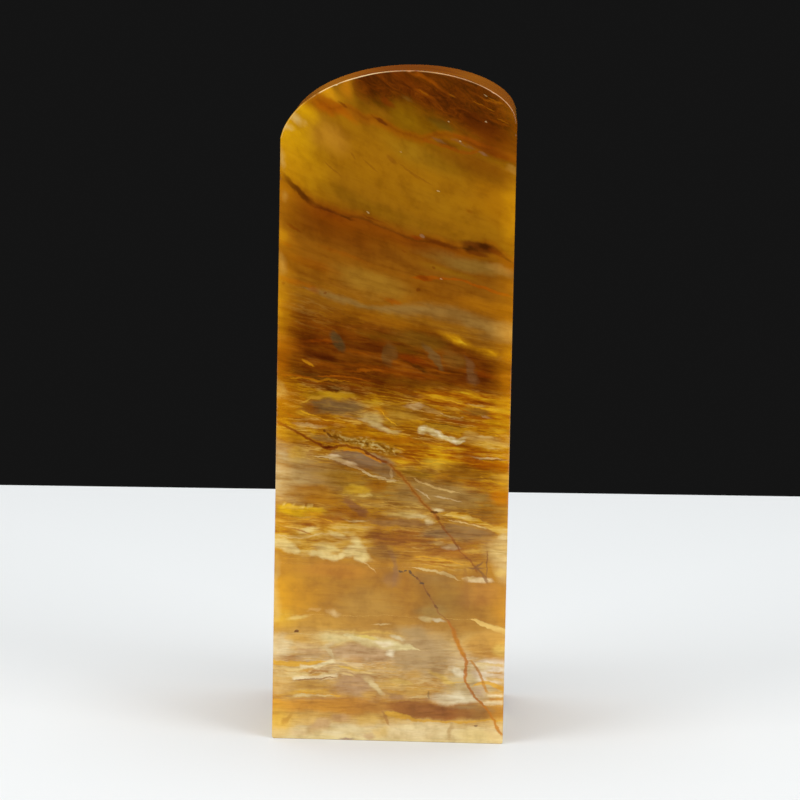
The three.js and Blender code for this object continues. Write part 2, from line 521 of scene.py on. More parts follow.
    def offset(self, points, reach, soft=False):
        """How far above a course through some points a place lies: 0 to 1 for -reach to +reach."""
        along, v = (self.soft_along, self.soft_v) if soft else (self.fine_along, self.fine_v)
        places = [course_share(x) for x, z in points]
        heights = [layer(x, z) for x, z in points]
        height = self.follow(along, places, heights, 0, COURSE_HEIGHT)
        raised = self.math("MULTIPLY_ADD", v, 0.5 / reach, 0.5)
        return self.math("MULTIPLY_ADD", height, -COURSE_HEIGHT * 0.5 / reach, raised)

    def offset_aside(self, points, reach):
        """The same to the right of a course that runs down the stone."""
        along = self.times(self.fine_v, 1 / COURSE_HEIGHT)
        ordered = sorted((layer(x, z), x) for x, z in points)
        off = COURSE_WIDTH / 2
        places = [height / COURSE_HEIGHT for height, x in ordered]
        aside = self.follow(along, places, [x for height, x in ordered], -off, off)
        centre = self.math("MULTIPLY_ADD", aside, -COURSE_WIDTH * 0.5 / reach,
                           0.5 + COURSE_WIDTH * 0.25 / reach)
        return self.math("MULTIPLY_ADD", self.fine_u, 0.5 / reach, centre)

    def turn(self, space, tilt):
        """A space turned so that a shape with that tilt in it lies level."""
        if not tilt:
            return space
        rise = 0 if space == self.fine_space else self.ragged
        cosine, sine = math.cos(math.radians(tilt)), math.sin(math.radians(tilt))
        across = self.vector("DOT_PRODUCT", space, (cosine, sine, 0))
        upwards = self.vector("DOT_PRODUCT", space, (-sine, cosine, 0))
        return self.join(across, upwards, rise)

    def blot(self, space, at, size, colour, strength, tilt, soft, ragged):
        """Stamps an oval, soft towards its edge."""
        u, v = at[0], layer(*at)
        tilt = TILT_STEP * round(tilt / TILT_STEP)
        cosine, sine = math.cos(math.radians(tilt)), math.sin(math.radians(tilt))
        across, upwards = u * cosine + v * sine, v * cosine - u * sine
        turned = self.turn(space, tilt)
        self.colour = self.add("ShaderNodeGroup", {
            "Space": turned,
            "Scale": (1 / size[0], 1 / size[1], ragged),
            "Shift": (-across / size[0], -upwards / size[1], 0),
            "Inner": OVAL_RIM - soft,
            "Strength": strength,
            "Under": self.colour,
            "Paint": linear(colour) if isinstance(colour, str) else colour,
        }, node_tree=self.stamp)

    def patch(self, at, size, colour, strength=0.9, tilt=0, soft=0.8, ragged=1):
        """A soft patch with ragged edges. Its size is its half width and half height."""
        self.blot(self.soft_space, at, size, colour, strength, tilt, soft, ragged)

    def patches(self, rows):
        """Soft patches in turn, as (x, z, half width, half height) and what a patch takes after its size."""
        for x, z, half_width, half_height, *rest in rows:
            self.patch((x, z), (half_width, half_height), *rest)

    def speck(self, at, size, colour, strength=0.9, tilt=0):
        """A small crisp patch."""
        self.blot(self.fine_space, at, size, colour, strength, tilt, 0.6, 1)

    def alike(self, stroke, rows, colour, strength, **rest):
        """Patches or specks in one colour, as (x, z, half width, half height) and, unless level, a tilt."""
        for x, z, half_width, half_height, *tilt in rows:
            stroke((x, z), (half_width, half_height), colour, strength, *tilt, **rest)

    def vein(self, points, reach, profile):
        """A vein along a course. The profile is its colours across, from below to above, in mm."""
        across = self.offset(points, reach)
        stops = [(0.5 + mm * 0.5 / reach, code, cover) for mm, code, cover in profile]
        colour = self.ramp(across, stops)
        self.lay(colour.node.outputs["Alpha"], colour)

    def line(self, points, width, colour, strength=0.9, aside=False, broken=False):
        """A thin line along a course that runs across the stone or, aside, down it."""
        reach = width * 1.5
        across = self.offset_aside(points, reach) if aside else self.offset(points, reach)
        place = self.fine_v if aside else self.fine_u
        ends = [layer(x, z) if aside else x for x, z in (points[0], points[-1])]
        middle, half = sum(ends) / 2, abs(ends[1] - ends[0]) / 2
        away = self.off(across, 0.5)
        cover = self.smooth(away, 0.42, 0.12, 0, strength)
        if broken:
            cover = self.times(cover, self.broken)
        along = self.off(place, middle)
        self.lay(self.times(cover, self.smooth(along, half, half - 0.4)), colour)

    def band(self, points, colour, strength=0.9, edge=0.5):
        """A band whose points are (x, z, half thickness). The edge is the share of it that is soft."""
        places = [course_share(x) for x, z, half in points]
        heights = [layer(x, z) for x, z, half in points]
        height = self.follow(self.soft_along, places, heights, 0, COURSE_HEIGHT)
        half = self.follow(self.soft_along, places, [half for x, z, half in points], 0, BAND_LIMIT)
        away = self.math("ABSOLUTE", self.math("MULTIPLY_ADD", height, -COURSE_HEIGHT, self.soft_v))
        share = self.math("DIVIDE", away, self.math("MULTIPLY_ADD", half, BAND_LIMIT, 0.001))
        streaked = self.math("MULTIPLY_ADD", self.math("SUBTRACT", self.streaks, 0.5), 1.5, share)
        self.lay(self.smooth(streaked, 1.2, 1.2 - 1.2 * edge, 0, strength), colour)

    def above(self, points, colour, strength, soft, fade):
        """Covers all that lies above a course, and fades out from one depth behind the front to another."""
        edge = 0.5 * soft / COURSE_REACH
        across = self.offset(points, COURSE_REACH, soft=True)
        factor = self.smooth(across, 0.5 - edge, 0.5 + edge, 0, strength)
        self.lay(self.times(factor, self.smooth(self.depth, fade[1], fade[0])), colour)

    def between(self, low, high, colour, strength, soft):
        """Covers what lies between two courses."""
        edge = 0.5 * soft / COURSE_REACH
        over = self.smooth(self.offset(low, COURSE_REACH, soft=True), 0.5 - edge, 0.5 + edge)
        under = self.smooth(self.offset(high, COURSE_REACH, soft=True), 0.5 + edge, 0.5 - edge, 0, strength)
        self.lay(self.times(over, under), colour)


def layer(x, z):
    """The height of the layer that a place on the front face belongs to. Higher layers slope more."""
    return z + x * z * (LAYER_SLOPE + LAYER_BEND * z)


def course_share(x):
    """How far along a course an x lies, from 0 to 1."""
    return x / COURSE_WIDTH + 0.5


def oval_stamp():
    """The node group of one oval stroke: it lays a colour over another inside a soft oval."""
    group = bpy.data.node_groups.new("oval_stroke", "ShaderNodeTree")
    kinds = {"Space": "Vector", "Scale": "Vector", "Shift": "Vector", "Inner": "Float", "Strength": "Float",
             "Under": "Color", "Paint": "Color"}
    for name, kind in kinds.items():
        group.interface.new_socket(name, in_out="INPUT", socket_type="NodeSocket" + kind)
    group.interface.new_socket("Colour", in_out="OUTPUT", socket_type="NodeSocketColor")
    given = group.nodes.new("NodeGroupInput").outputs
    local = add_node(group, "ShaderNodeVectorMath",
                     {0: given["Space"], 1: given["Scale"], 2: given["Shift"]}, operation="MULTIPLY_ADD")
    away = add_node(group, "ShaderNodeVectorMath", {0: local}, "Value", operation="LENGTH")
    cover = add_node(group, "ShaderNodeMapRange",
                     {"Value": away, "From Min": OVAL_RIM, "From Max": given["Inner"],
                      "To Max": given["Strength"]},
                     interpolation_type="SMOOTHSTEP", clamp=False)
    mix = add_node(group, "ShaderNodeMix", {0: cover, 6: given["Under"], 7: given["Paint"]}, 2,
                   data_type="RGBA")
    group.links.new(mix, group.nodes.new("NodeGroupOutput").inputs[0])
    return group


def paint_ground(paint):
    """The layers from the foot to the crown, before any stroke."""
    levels = [
        (0, "#dcca98"), (1.6, "#d6c090"), (2.6, "#c9a052"), (4.4, "#bd8e52"), (6, "#cca864"),
        (9, "#d0b488"), (11, "#d2ae66"), (12.6, "#ae7e2e"), (15.5, "#a6721e"), (18.6, "#ac7820"),
        (20.5, "#b9821e"), (22.5, "#b07618"), (24.5, "#a8762a"), (27, "#9c7630"), (29.5, "#9a6e26"),
        (31.5, "#a86f0c"), (34, "#a46a08"), (36.5, "#98600a"), (38, "#834c04"), (41, "#753a03"),
        (44, "#764006"), (46, "#8c5a10"), (49, "#8b540a"), (52, "#84500c"), (54.5, "#7c4806"),
        (57, "#8c5c08"), (61, "#986508"), (65, "#936208"), (68, "#7e5203"), (71, "#8a4e03"),
        (74, "#c07c0a")]
    stops = [(level / COURSE_HEIGHT, code) for level, code in levels]
    paint.colour = paint.ramp(paint.times(paint.soft_v, 1 / COURSE_HEIGHT), stops)


def paint_inner_clouds(paint):
    """Clouds, stains and veins behind the front face, where its strokes don't reach."""
    behind = paint.smooth(paint.depth, 1.5, 6)
    creamy = paint.ramp(paint.fibres, [(0.36, "#b88434"), (0.5, "#cca458"), (0.64, "#e0cc98")])
    rusty = paint.ramp(paint.fibres, [(0.36, "soot"), (0.5, "dark_rust"), (0.64, "red_rust")])
    golden = paint.ramp(paint.streaks, [(0.36, "amber"), (0.5, "gold"), (0.64, "yellow")])
    creamy_levels = [(0, 0.9), (11, 0.9), (13, 0.3), (18, 0.3), (20, 1), (36, 0.9), (39, 0.1), (45, 0.3),
                     (52, 0.4), (56, 0.1), (72, 0.1)]
    rusty_levels = [(0, 0.1), (2.6, 0.1), (3, 0.7), (4.5, 0.7), (5, 0.1), (20, 0.2), (30, 0.5), (36, 0.8),
                    (48, 0.8), (57, 0.5), (60, 0.2), (64, 0.3), (68, 0.9), (74, 0.9)]
    golden_levels = [(0, 0.4), (12, 0.8), (18, 0.8), (30, 0.6), (38, 0.2), (46, 0.6), (54, 0.3), (58, 0.9),
                     (66, 0.9), (70, 0.4), (74, 0.4)]
    for across, upwards, start, colour, levels in [
            (0.1, 0.22, 0.47, golden, golden_levels), (0.14, 0.4, 0.5, rusty, rusty_levels),
            (0.16, 0.5, 0.48, creamy, creamy_levels), (0.26, 1.1, 0.55, creamy, creamy_levels)]:
        cloud = paint.smooth(paint.noise(paint.grain(across, upwards), 1, 4, 0.6), start, start + 0.09)
        paint.lay(paint.times(paint.times(cloud, behind), paint.by_level(levels)), colour)
    for across, upwards, width in [(0.05, 0.09, 0.006), (0.03, 0.16, 0.007)]:
        away = paint.off(paint.noise(paint.grain(across, upwards), 1, 5, 0.55), 0.5)
        cover = paint.times(paint.smooth(away, width, width * 0.3), behind)
        paint.lay(paint.times(cover, 0.8), "#6c3808")


def paint_shoulders(paint):
    """The golden left shoulder and the honey plain under the crown."""
    paint.patches([
        (-11.8, 65, 4.6, 4.8, "#c49208", 0.95, 0, 1.15, 0.12),
        (-10.8, 61.6, 5, 3, "#b07a08", 0.8, 0, 1.2, 0.12),
        (-7.4, 65.2, 2.8, 1.6, "#b07a20", 0.65, 14, 1.1, 0.12),
        (-7.8, 69.9, 2.2, 1, "#d49410", 0.9, 0, 1.1, 0.3),
        (-5.6, 70.5, 1.3, 1.3, "#b4700a", 0.85, 0, 1.1, 0.3),
        # The cream patches at (-11, 67.1) and (-12, 66.1), on the left shoulder's rim, are a painted glint of
        # light.
        (-10, 68, 1.4, 0.9, "#cc9804", 0.8, 0, 1.1, 0.2), (-11, 67.1, 0.9, 0.5, "cream", 0.5, 0, 1.2, 0.6),
        (-12, 66.1, 0.9, 0.4, "cream", 0.5, 40, 1.2), (-12.4, 62.9, 0.5, 1.1, "cream", 0.3, 0, 1.1),
        (10.5, 59, 3, 3.6, "#a06604", 0.6, 0, 1.1, 0.12),
        (12.4, 57.5, 1.5, 5.5, "#bc8206", 0.7, 0, 1.15, 0.12),
        (2.2, 63.3, 4.6, 1.5, "#946c10", 0.6, 0, 1.1, 0.12),
        (-3, 57.9, 7, 0.9, "#845a08", 0.6, 0, 1.1, 0.2), (4, 58.6, 5, 2, "#94650c", 0.5, 0, 1.1, 0.12)])
    paint.alike(paint.speck, [
        (-6.9, 61.7, 1, 0.1, -20), (-2.9, 62.1, 0.9, 0.1, -20), (-0.7, 62.8, 0.6, 0.28, -20),
        (1.2, 61.6, 1.2, 0.12, -20), (2.6, 60.8, 1, 0.1, -10),
        (-4.7, 63.1, 0.35, 0.14, -30)], "#84500a", 0.6)
    paint.patch((7.7, 57.6), (0.5, 0.3), "#864602", 0.6, soft=1)


def paint_crown(paint):
    """The olive heart of the crown and the dark rusty wedge over it."""
    paint.patches([
        (0.6, 67.3, 5.6, 2.4, "#7c5202", 0.9, 0, 0.8, 0.5), (0.9, 67, 1.9, 1, "#8a6204", 0.8, 0, 1),
        (4.6, 66.6, 1.8, 0.7, "#5f470c", 0.75), (-2.4, 68.2, 1.8, 0.6, "#94600c", 0.6)])
    rusty = paint.ramp(paint.noise(paint.grain(0.7, 1.3), 1, 6, 0.78, distortion=0.9), [
        (0.34, "#3a1600"), (0.43, "#4a1f01"), (0.5, "#562401"), (0.57, "#612a01"),
        (0.68, "#723802")])
    paint.above([(-6.4, 78), (-5.3, 74), (-4.7, 71), (-4.3, 69.6), (-3.4, 68.7), (-2.2, 68.8), (-1, 68.5),
                 (0, 69.2), (1, 69), (2, 68.4), (3.2, 67.9), (5, 67.1), (7, 66), (9, 64.9), (12.5, 62.8)],
                rusty, 0.95, 1.3, fade=(0.3, 2.5))
    paint.patches([
        (-4, 70, 1.2, 1.1, "#7c4004", 0.7, 0, 1.1), (-1.2, 68.9, 0.9, 0.5, "#743002", 0.7),
        (0.2, 71.6, 2.4, 0.5, "#763602", 0.6), (0.7, 69.4, 0.9, 0.3, "grey_brown", 0.5, 0, 1.1),
        (2, 71.7, 3.4, 0.45, "burnt_orange", 0.6), (3, 69.6, 1.6, 0.3, "burnt_orange", 0.45),
        (9.8, 69.2, 1.6, 0.2, "orange", 0.4, 10), (9.8, 65.4, 2.8, 1.1, "#7c3c02", 0.6),
        (9.4, 66.2, 3.6, 1.3, "#582602", 0.7, 0, 0.8, 0.5)])
    paint.alike(paint.patch, [
        (-3.3, 70.8, 1.2, 0.4), (6.3, 68.2, 0.5, 0.22), (7.2, 67.6, 0.5, 0.2), (9.8, 67, 1.6, 0.3),
        (1.7, 71.9, 0.35, 0.3), (4.9, 69, 0.3, 0.5), (3.2, 70.8, 1.4, 0.2), (5.4, 67.6, 0.4, 0.15),
        (8.1, 67.2, 0.5, 0.15), (6.8, 68.8, 0.3, 0.12), (10.6, 65.2, 0.8, 0.3),
        (8.6, 68.4, 0.4, 0.15)], "#3e1c02", 0.5)
    paint.alike(paint.speck, [
        (5.6, 69.7, 0.4, 0.1), (8.4, 68.9, 0.7, 0.08), (10.2, 69.2, 0.8, 0.1), (9.6, 68.3, 0.5, 0.08),
        (11, 67.1, 0.6, 0.08), (2.6, 69.9, 0.6, 0.12)], "#9c5c06", 0.5)
    paint.patches([
        (-7, 68.4, 2.9, 0.6, "orange", 0.85), (-8, 68.4, 1.4, 0.4, "burnt_orange", 0.7)])
    paint.vein([(-9.5, 68.7), (-7, 68.1), (-5.5, 68.3), (-4.6, 67.8), (-3.6, 67.2), (-2.4, 67.1), (-1, 66.4),
                (0, 65.8), (1.2, 65.5), (2.3, 65.2), (3.2, 65.3), (4.2, 65.6), (5.4, 65.5), (7, 65.1),
                (9, 64.4), (12.6, 63.2)], 1.2,
               [(-0.9, "burnt_orange", 0), (-0.35, "burnt_orange", 0.45), (0, "red_rust", 0.6),
                (0.3, "burnt_orange", 0.4), (0.7, "olive", 0)])
    paint.patches([
        (-8.2, 68.3, 1.8, 0.55, "#a45a04", 0.85, 0, 1), (-2.3, 67.2, 0.8, 0.22, "dark_rust", 0.85),
        (-5.7, 68.4, 0.5, 0.2, "rust", 0.7), (9, 62.4, 4.4, 1.5, "#7c4604", 0.8, 0, 1.1, 0.5),
        (5.5, 63.2, 2.4, 1, "#84500a", 0.6, 0, 1.1, 0.5), (9.4, 64.1, 3.8, 0.9, "#743802", 0.85),
        (11.4, 63.4, 1.4, 0.5, "red_rust", 0.7), (5, 64.6, 1.2, 0.5, "#643202", 0.85, 0, 1),
        (4.2, 65, 0.7, 0.2, "#7c5c3c", 0.45, 0, 1), (6.3, 64.8, 0.8, 0.22, "#785638", 0.5, 0, 1),
        (7.5, 64.3, 0.7, 0.22, "#6e4c30", 0.4, 0, 1), (9.3, 63.5, 0.9, 0.22, "#8a6650", 0.5, 0, 1)])
    paint.line([(2.4, 65.1), (3.6, 64.7), (5, 64.3), (6.2, 63.9), (7.4, 63.7), (8.6, 63.9)], 0.26,
               "#904604", 0.55)
    paint.line([(5.6, 65.6), (7.4, 65.1), (9, 64.5), (10.6, 64.1), (12.4, 63.3)], 0.24, "#8e4602", 0.55)
    paint.patches([
        (11.3, 64.2, 2.8, 1.6, "#6e3602", 0.8, 0, 1.1, 0.5),
        (8.8, 61.6, 4.6, 1.5, "#764604", 0.75, 0, 1.2, 0.3),
        (5, 62.4, 3, 1.5, "#7e5406", 0.65, 0, 1.2, 0.3), (12.1, 62.1, 0.9, 0.6, "tan", 0.5, 0, 1.1)])


def paint_dark_vein(paint):
    """The dark vein across the upper third, with the rusty cloud that hangs from it on the left."""
    paint.patches([
        (-6.5, 55.5, 7, 2.1, "#743c02", 0.9, 0, 0.9, 0.5), (2, 53.4, 4, 1, "#7e4a08", 0.6)])
    paint.vein([(-12.5, 60.75), (-11.5, 60.1), (-10.5, 59.5), (-9.8, 58.9), (-9.3, 58.5), (-8.5, 57.9),
                (-7.5, 57.5), (-6.5, 57.1), (-5.5, 56.8), (-4, 56.7), (-3, 56.4), (-2.2, 56), (-1, 55.5),
                (0, 55.1), (1, 54.7), (2, 54.4), (3.5, 54.3), (4.5, 54.2), (5.5, 53.9), (6.5, 53.7),
                (7.5, 53.7), (8.5, 53.8), (9.5, 54), (10.3, 53.8), (11.2, 53.1), (12, 52.4), (12.6, 52)], 2,
               [(-1.7, "red_rust", 0), (-0.8, "red_rust", 0.4), (-0.26, "red_brown", 0.6),
                (-0.1, "dark_rust", 0.7), (0.06, "rust", 0.6), (0.26, "red_rust", 0.4), (0.9, "red_rust", 0)])
    paint.patches([
        (-11.3, 60.1, 1.5, 0.42, "soot", 0.9, -20), (-9.8, 58.9, 1.2, 0.4, "soot", 0.85, -30),
        (-7.9, 57.5, 1.3, 0.2, "dark_rust", 0.8), (-5.3, 56.7, 0.9, 0.14, "soot", 0.7),
        (-2.8, 56.7, 1, 0.12, "rust", 0.7), (8.8, 53.8, 2.4, 0.7, "#5c2c06", 0.85),
        (7.6, 53.7, 0.8, 0.4, "#401e02"), (9.3, 53.9, 1, 0.35, "#401e02", 0.8),
        (8.4, 53.2, 1.3, 0.35, "dark_rust", 0.8), (10.8, 53.1, 1.2, 0.4, "rust", 0.75, -12),
        (12, 52.4, 0.6, 0.2, "soot", 0.8, -12), (4.4, 54.2, 2, 0.45, "dark_rust", 0.8),
        (2.2, 54.5, 0.9, 0.3, "#843802", 0.8), (-11, 55.6, 1, 0.2, "rust", 0.8, -8),
        (-11.7, 53.7, 0.8, 0.3, "red_rust", 0.7), (-12.3, 58.8, 0.6, 0.6, "tan", 0.5, 0, 1.1),
        (-12.3, 54.6, 1.2, 1, "#b9820c", 0.6, 0, 1.1), (-12.3, 51.6, 0.7, 1.2, "sand", 0.35, 0, 1.1)])
    paint.speck((2.7, 54.8), (0.3, 0.22), "#8e6c50", 0.55)


def paint_milky_bands(paint):
    """The brown and greenish layers with two milky bands, down to the dark red zone."""
    paint.patches([
        (5.6, 51.1, 3.4, 0.6, "#8e640e", 0.6, 0, 1), (7, 52.1, 5.4, 1, "#836125", 0.85, 0, 0.8, 0.6),
        (11.3, 51.3, 2.2, 0.7, "tan", 0.35), (3, 52.9, 1.4, 0.4, "#7c5c24", 0.5),
        (-2.6, 49.8, 4.8, 1.4, "#986e20", 0.75, 0, 0.8, 0.5), (-10.8, 49.6, 3, 0.4, "burnt_orange", 0.6),
        (-12.3, 47, 1.4, 3.4, "#b47f0a", 0.8, 0, 1.1), (-9, 51.6, 3, 0.6, "#8c4c04", 0.6),
        (-5.5, 52.7, 3, 0.25, "#8e4c04", 0.6)])
    paint.band([(1.6, 50.4, 0), (3, 50.2, 0.25), (5, 50.3, 0.16), (7, 50.2, 0.16), (9, 49.6, 0.2),
                (11, 48.9, 0.25), (12.5, 48.4, 0)], "burnt_orange", 0.8)
    paint.patches([
        (3, 50.2, 0.8, 0.3, "red_brown", 0.7), (9.4, 47.6, 3.4, 1, "#a06408", 0.7),
        (8.6, 42.9, 2.8, 0.8, "#8c5606", 0.6, -12)])
    paint.band([(-10, 48.9, 0), (-8, 48.6, 0.5), (-6.5, 48.1, 0.55), (-5, 47.6, 0.5), (-3.5, 47.1, 0.35),
                (-2, 46.9, 0.5), (0, 46.9, 0.7), (2, 47, 0.95), (4, 46.9, 1), (6, 46.6, 1.1),
                (8, 45.8, 1.2), (10, 45.1, 1.3), (12.5, 44.6, 1.5)], "#8d6b34", 0.8, edge=0.95)
    paint.patches([
        (12, 44.8, 2.6, 1.4, "tan", 0.6), (-2.6, 48.1, 1.1, 0.4, "#9a6a1c", 0.6),
        (-0.4, 47.8, 1.2, 0.35, "burnt_orange", 0.65), (-8.9, 48.8, 0.8, 0.4, "#8c4604", 0.6),
        (0, 45.4, 6.5, 0.6, "#945a06", 0.7)])
    paint.alike(paint.speck, [
        (-7.5, 48.5, 0.18, 0.12), (-11.9, 49.4, 0.22, 0.14), (2.4, 49.1, 0.25, 0.18), (4, 51.5, 0.25, 0.16),
        (0.8, 53.2, 0.3, 0.12), (3.7, 37.9, 0.2, 0.1)], "rust", 0.55)


def paint_red_zone(paint):
    """The dark red zone with its grey mauve blobs and two flares of yellow."""
    embers = paint.ramp(paint.waves, [(0.32, "#562503"), (0.43, "#632d03"), (0.52, "#713602"),
                                      (0.6, "#7e3f02"), (0.68, "#925004")])
    paint.between([(-12.5, 39.4), (-8, 38.8), (-4, 38.2), (0, 37.9), (4, 38.6), (8, 38.6), (12.5, 38.4)],
                  [(-12.5, 43), (-10, 44.4), (-5, 45), (-2, 44.8), (2, 44.6), (4, 44.6), (6, 43.6), (8, 42.7),
                   (9.7, 41.7), (11.5, 40.7), (12.5, 40.4)], embers, 0.95, 1.1)
    paint.patches([
        (-12.2, 41.6, 1.4, 2.6, "burnt_orange", 0.8, 0, 1.1), (-8, 41.7, 2.8, 0.6, "#582603", 0.85),
        (-4, 43, 3, 0.5, "#5e2b03", 0.85), (-3, 41.4, 3.2, 0.8, "#643203", 0.7),
        (2.6, 43.6, 3.6, 1.1, "#765010", 0.75, 0, 0.8, 0.6), (6.2, 41.7, 1.6, 1.1, "#744e19", 0.75),
        (-1.8, 44, 3, 0.6, "#6e4808", 0.6), (1, 42.6, 2.4, 0.5, "#6c4608", 0.6),
        (2, 41.6, 2, 0.45, "#803401", 0.75), (0, 40.3, 5.5, 0.35, "#8a4401", 0.75),
        (10, 40.1, 1.5, 0.4, "#7e3601", 0.75), (2.3, 40.8, 1.2, 0.28, "soot", 0.85, -20),
        (-6, 43.3, 1.1, 0.6, "#553f22", 0.95, -38, 0.6, 0.3),
        (-0.5, 42.1, 0.8, 1.3, "#6a451d", 0.85, 0, 0.6, 0.5),
        (4.2, 41.9, 1.6, 0.55, "#705028", 0.85, -50, 0.6, 0.5),
        (8.1, 40.5, 1.6, 0.5, "#714826", 0.95, -74, 0.6, 0.3),
        (8.5, 39.7, 0.8, 0.8, "#714826", 0.9, 0, 0.7, 0.3), (6.4, 43.9, 2.2, 0.7, "#b88006", 0.9, -10, 1),
        (6.6, 43.8, 1.2, 0.3, "#cc9810", 0.85, -10, 0.9), (7.2, 43.6, 0.6, 0.2, "yellow", 0.8, -10, 0.9),
        (9.9, 42.6, 2, 0.7, "#b07806", 0.9, -14, 1), (10.2, 42.5, 1, 0.3, "#c48c0c", 0.8, -20, 0.9),
        (12.4, 42.4, 1, 1.4, "#b87c08", 0.7, 0, 1.2), (12.2, 39.4, 1.6, 1.4, "#b06804", 0.75, 0, 1.1)])
    paint.speck((-9.2, 41), (0.7, 0.14), "amber", 0.9, -20)
    paint.patches([
        (-8, 43.4, 2, 0.25, "#904602", 0.7, 10), (-3.5, 40.4, 3, 0.2, "#9c5204", 0.7, 10),
        (3.4, 38.9, 6.4, 0.6, "#7a4a08", 0.7), (5, 40.4, 2, 0.2, "#8e4a04", 0.7),
        (7.4, 38.2, 0.8, 0.2, "soot", 0.7)])


def paint_upper_fibres(paint, gold, cream):
    """The tangle of gold fibres and cream lenses under the dark red zone."""
    paint.patches([
        (-11.3, 36.6, 2.4, 2.6, "#a96805", 0.75, 0, 1.1), (-7, 38.7, 5.6, 0.6, "#783c03", 0.85),
        (-6.4, 38.4, 1.2, 0.45, "soot"), (-8, 39.6, 2.8, 0.35, "#6e4410", 0.75)])
    paint.band([(-11, 39.2, 0), (-9.5, 39.35, 0.1), (-8, 39.2, 0.12), (-6.5, 39.4, 0.1), (-4.2, 39.1, 0)],
               "amber", 0.8)
    paint.patches([
        (8, 37.1, 6, 1.4, gold, 0.9, 0, 0.6), (10.6, 35.6, 3.4, 1.7, gold, 0.85),
        (-12.3, 38, 1, 1, "sand", 0.85), (-6.8, 37.6, 3, 0.5, "#b08414", 0.95, 10, 0.6, 0.6),
        (-8.2, 37.4, 1.2, 0.25, "#c8982c", 0.8, 10),
        (-6.3, 36.4, 3.4, 0.85, "#785a34", 0.97, 10, 0.6, 0.35), (-9.3, 37, 0.8, 0.12, "#c09430", 0.7, 30),
        (-8.9, 36.2, 1, 0.6, "#864902", 0.8), (-3.8, 36, 1.4, 0.7, "#806032", 0.6),
        (-5, 35.4, 1.9, 0.25, "#9c7440", 0.7), (-9.7, 35.6, 0.9, 0.35, "#b98a20", 0.75),
        (-7, 34.6, 4, 0.5, "#a05c04", 0.7), (-5.5, 34.6, 0.9, 0.4, "amber", 0.6),
        (-9.2, 34.3, 1.9, 0.25, "#c8a468", 0.7), (0.6, 35.7, 2.4, 1.2, "#a1731e", 0.85),
        (-1.7, 36.3, 1.7, 0.4, "amber", 0.8, -22), (-2.3, 36.9, 1.4, 0.5, "#bc941c", 0.65, 0, 1),
        (-2.2, 35.2, 1.3, 1, "#bea362", 0.9, 0, 0.9), (-3.1, 35.1, 0.8, 0.3, "#c4a972", 0.8),
        (-1.3, 34.3, 1.5, 0.42, "cream", 0.85, -20), (-0.1, 33.75, 1.1, 0.25, "#c4a868", 0.8),
        (2.2, 36.6, 1.2, 0.34, "#bd9a66", 0.95, 8, 0.6), (4.1, 36.2, 1.2, 0.36, "#a3783b", 0.9, -14, 0.6),
        (1.2, 35.6, 1.6, 0.5, "#b08428", 0.7), (0, 34.7, 1.4, 0.3, "#8e6418", 0.6),
        (5.9, 35.5, 1.5, 0.18, "#b8903c", 0.85, 4), (6.4, 36.9, 3.6, 0.2, "burnt_orange", 0.6, -6),
        (6.6, 35.1, 2.8, 0.3, "red_rust", 0.8, -4), (8.9, 36.1, 1.7, 0.5, "#80571e", 0.85),
        (6.6, 36.4, 1.1, 0.2, "#cc9a34", 0.85), (8.9, 36.65, 1.1, 0.14, "#c8a050", 0.8),
        (9.9, 35.6, 0.8, 0.16, "#b58d61", 0.8, -10), (9.6, 34.6, 2, 0.5, "burnt_orange", 0.6),
        (12, 36.8, 1.5, 1.3, "#cc9410", 0.75, 0, 1), (11.9, 36.2, 1.5, 0.35, "yellow", 0.75),
        (10.9, 34.9, 1.6, 0.28, "gold", 0.75), (5.2, 34.3, 2.6, 0.5, "#9a741e", 0.7)])
    paint.alike(paint.patch, [
        (3.3, 34, 0.75, 0.5, 10), (4.3, 33.7, 0.9, 0.4, -20), (5.4, 33.3, 0.8, 0.28, -30),
        (6.5, 32.95, 0.9, 0.42, -10), (7.5, 33, 0.9, 0.3, 20)], "#dccc98", 0.9, soft=0.7, ragged=0.5)
    paint.alike(paint.patch, [
        (3.4, 34.1, 0.5, 0.25), (5, 33.55, 0.5, 0.12, -30), (6.6, 32.9, 0.6, 0.2, 8),
        (7.7, 32.9, 0.4, 0.12)], "#ece2c4", 0.8)
    paint.patches([
        (10, 33, 3, 0.7, "#c49c52", 0.85), (8.3, 33.8, 1, 0.4, "#b98f41", 0.75),
        (9.9, 33.4, 1, 0.22, "#d0b070", 0.8), (10.8, 32.6, 2.6, 0.5, cream, 0.75),
        (0.5, 32.9, 4.8, 0.4, "#a86404", 0.8), (4, 32.3, 2.2, 0.25, "burnt_orange", 0.8)])
    paint.line([(1.6, 32.7), (4, 32.3), (6, 32), (8, 31.95), (10, 31.8), (12.6, 31.7)], 0.12, "#7c4404", 0.75)
    paint.patches([
        (11.6, 34.2, 1.5, 0.3, "#c89a20", 0.7), (12.4, 33.2, 0.6, 1, "sand", 0.45, 0, 1.1)])


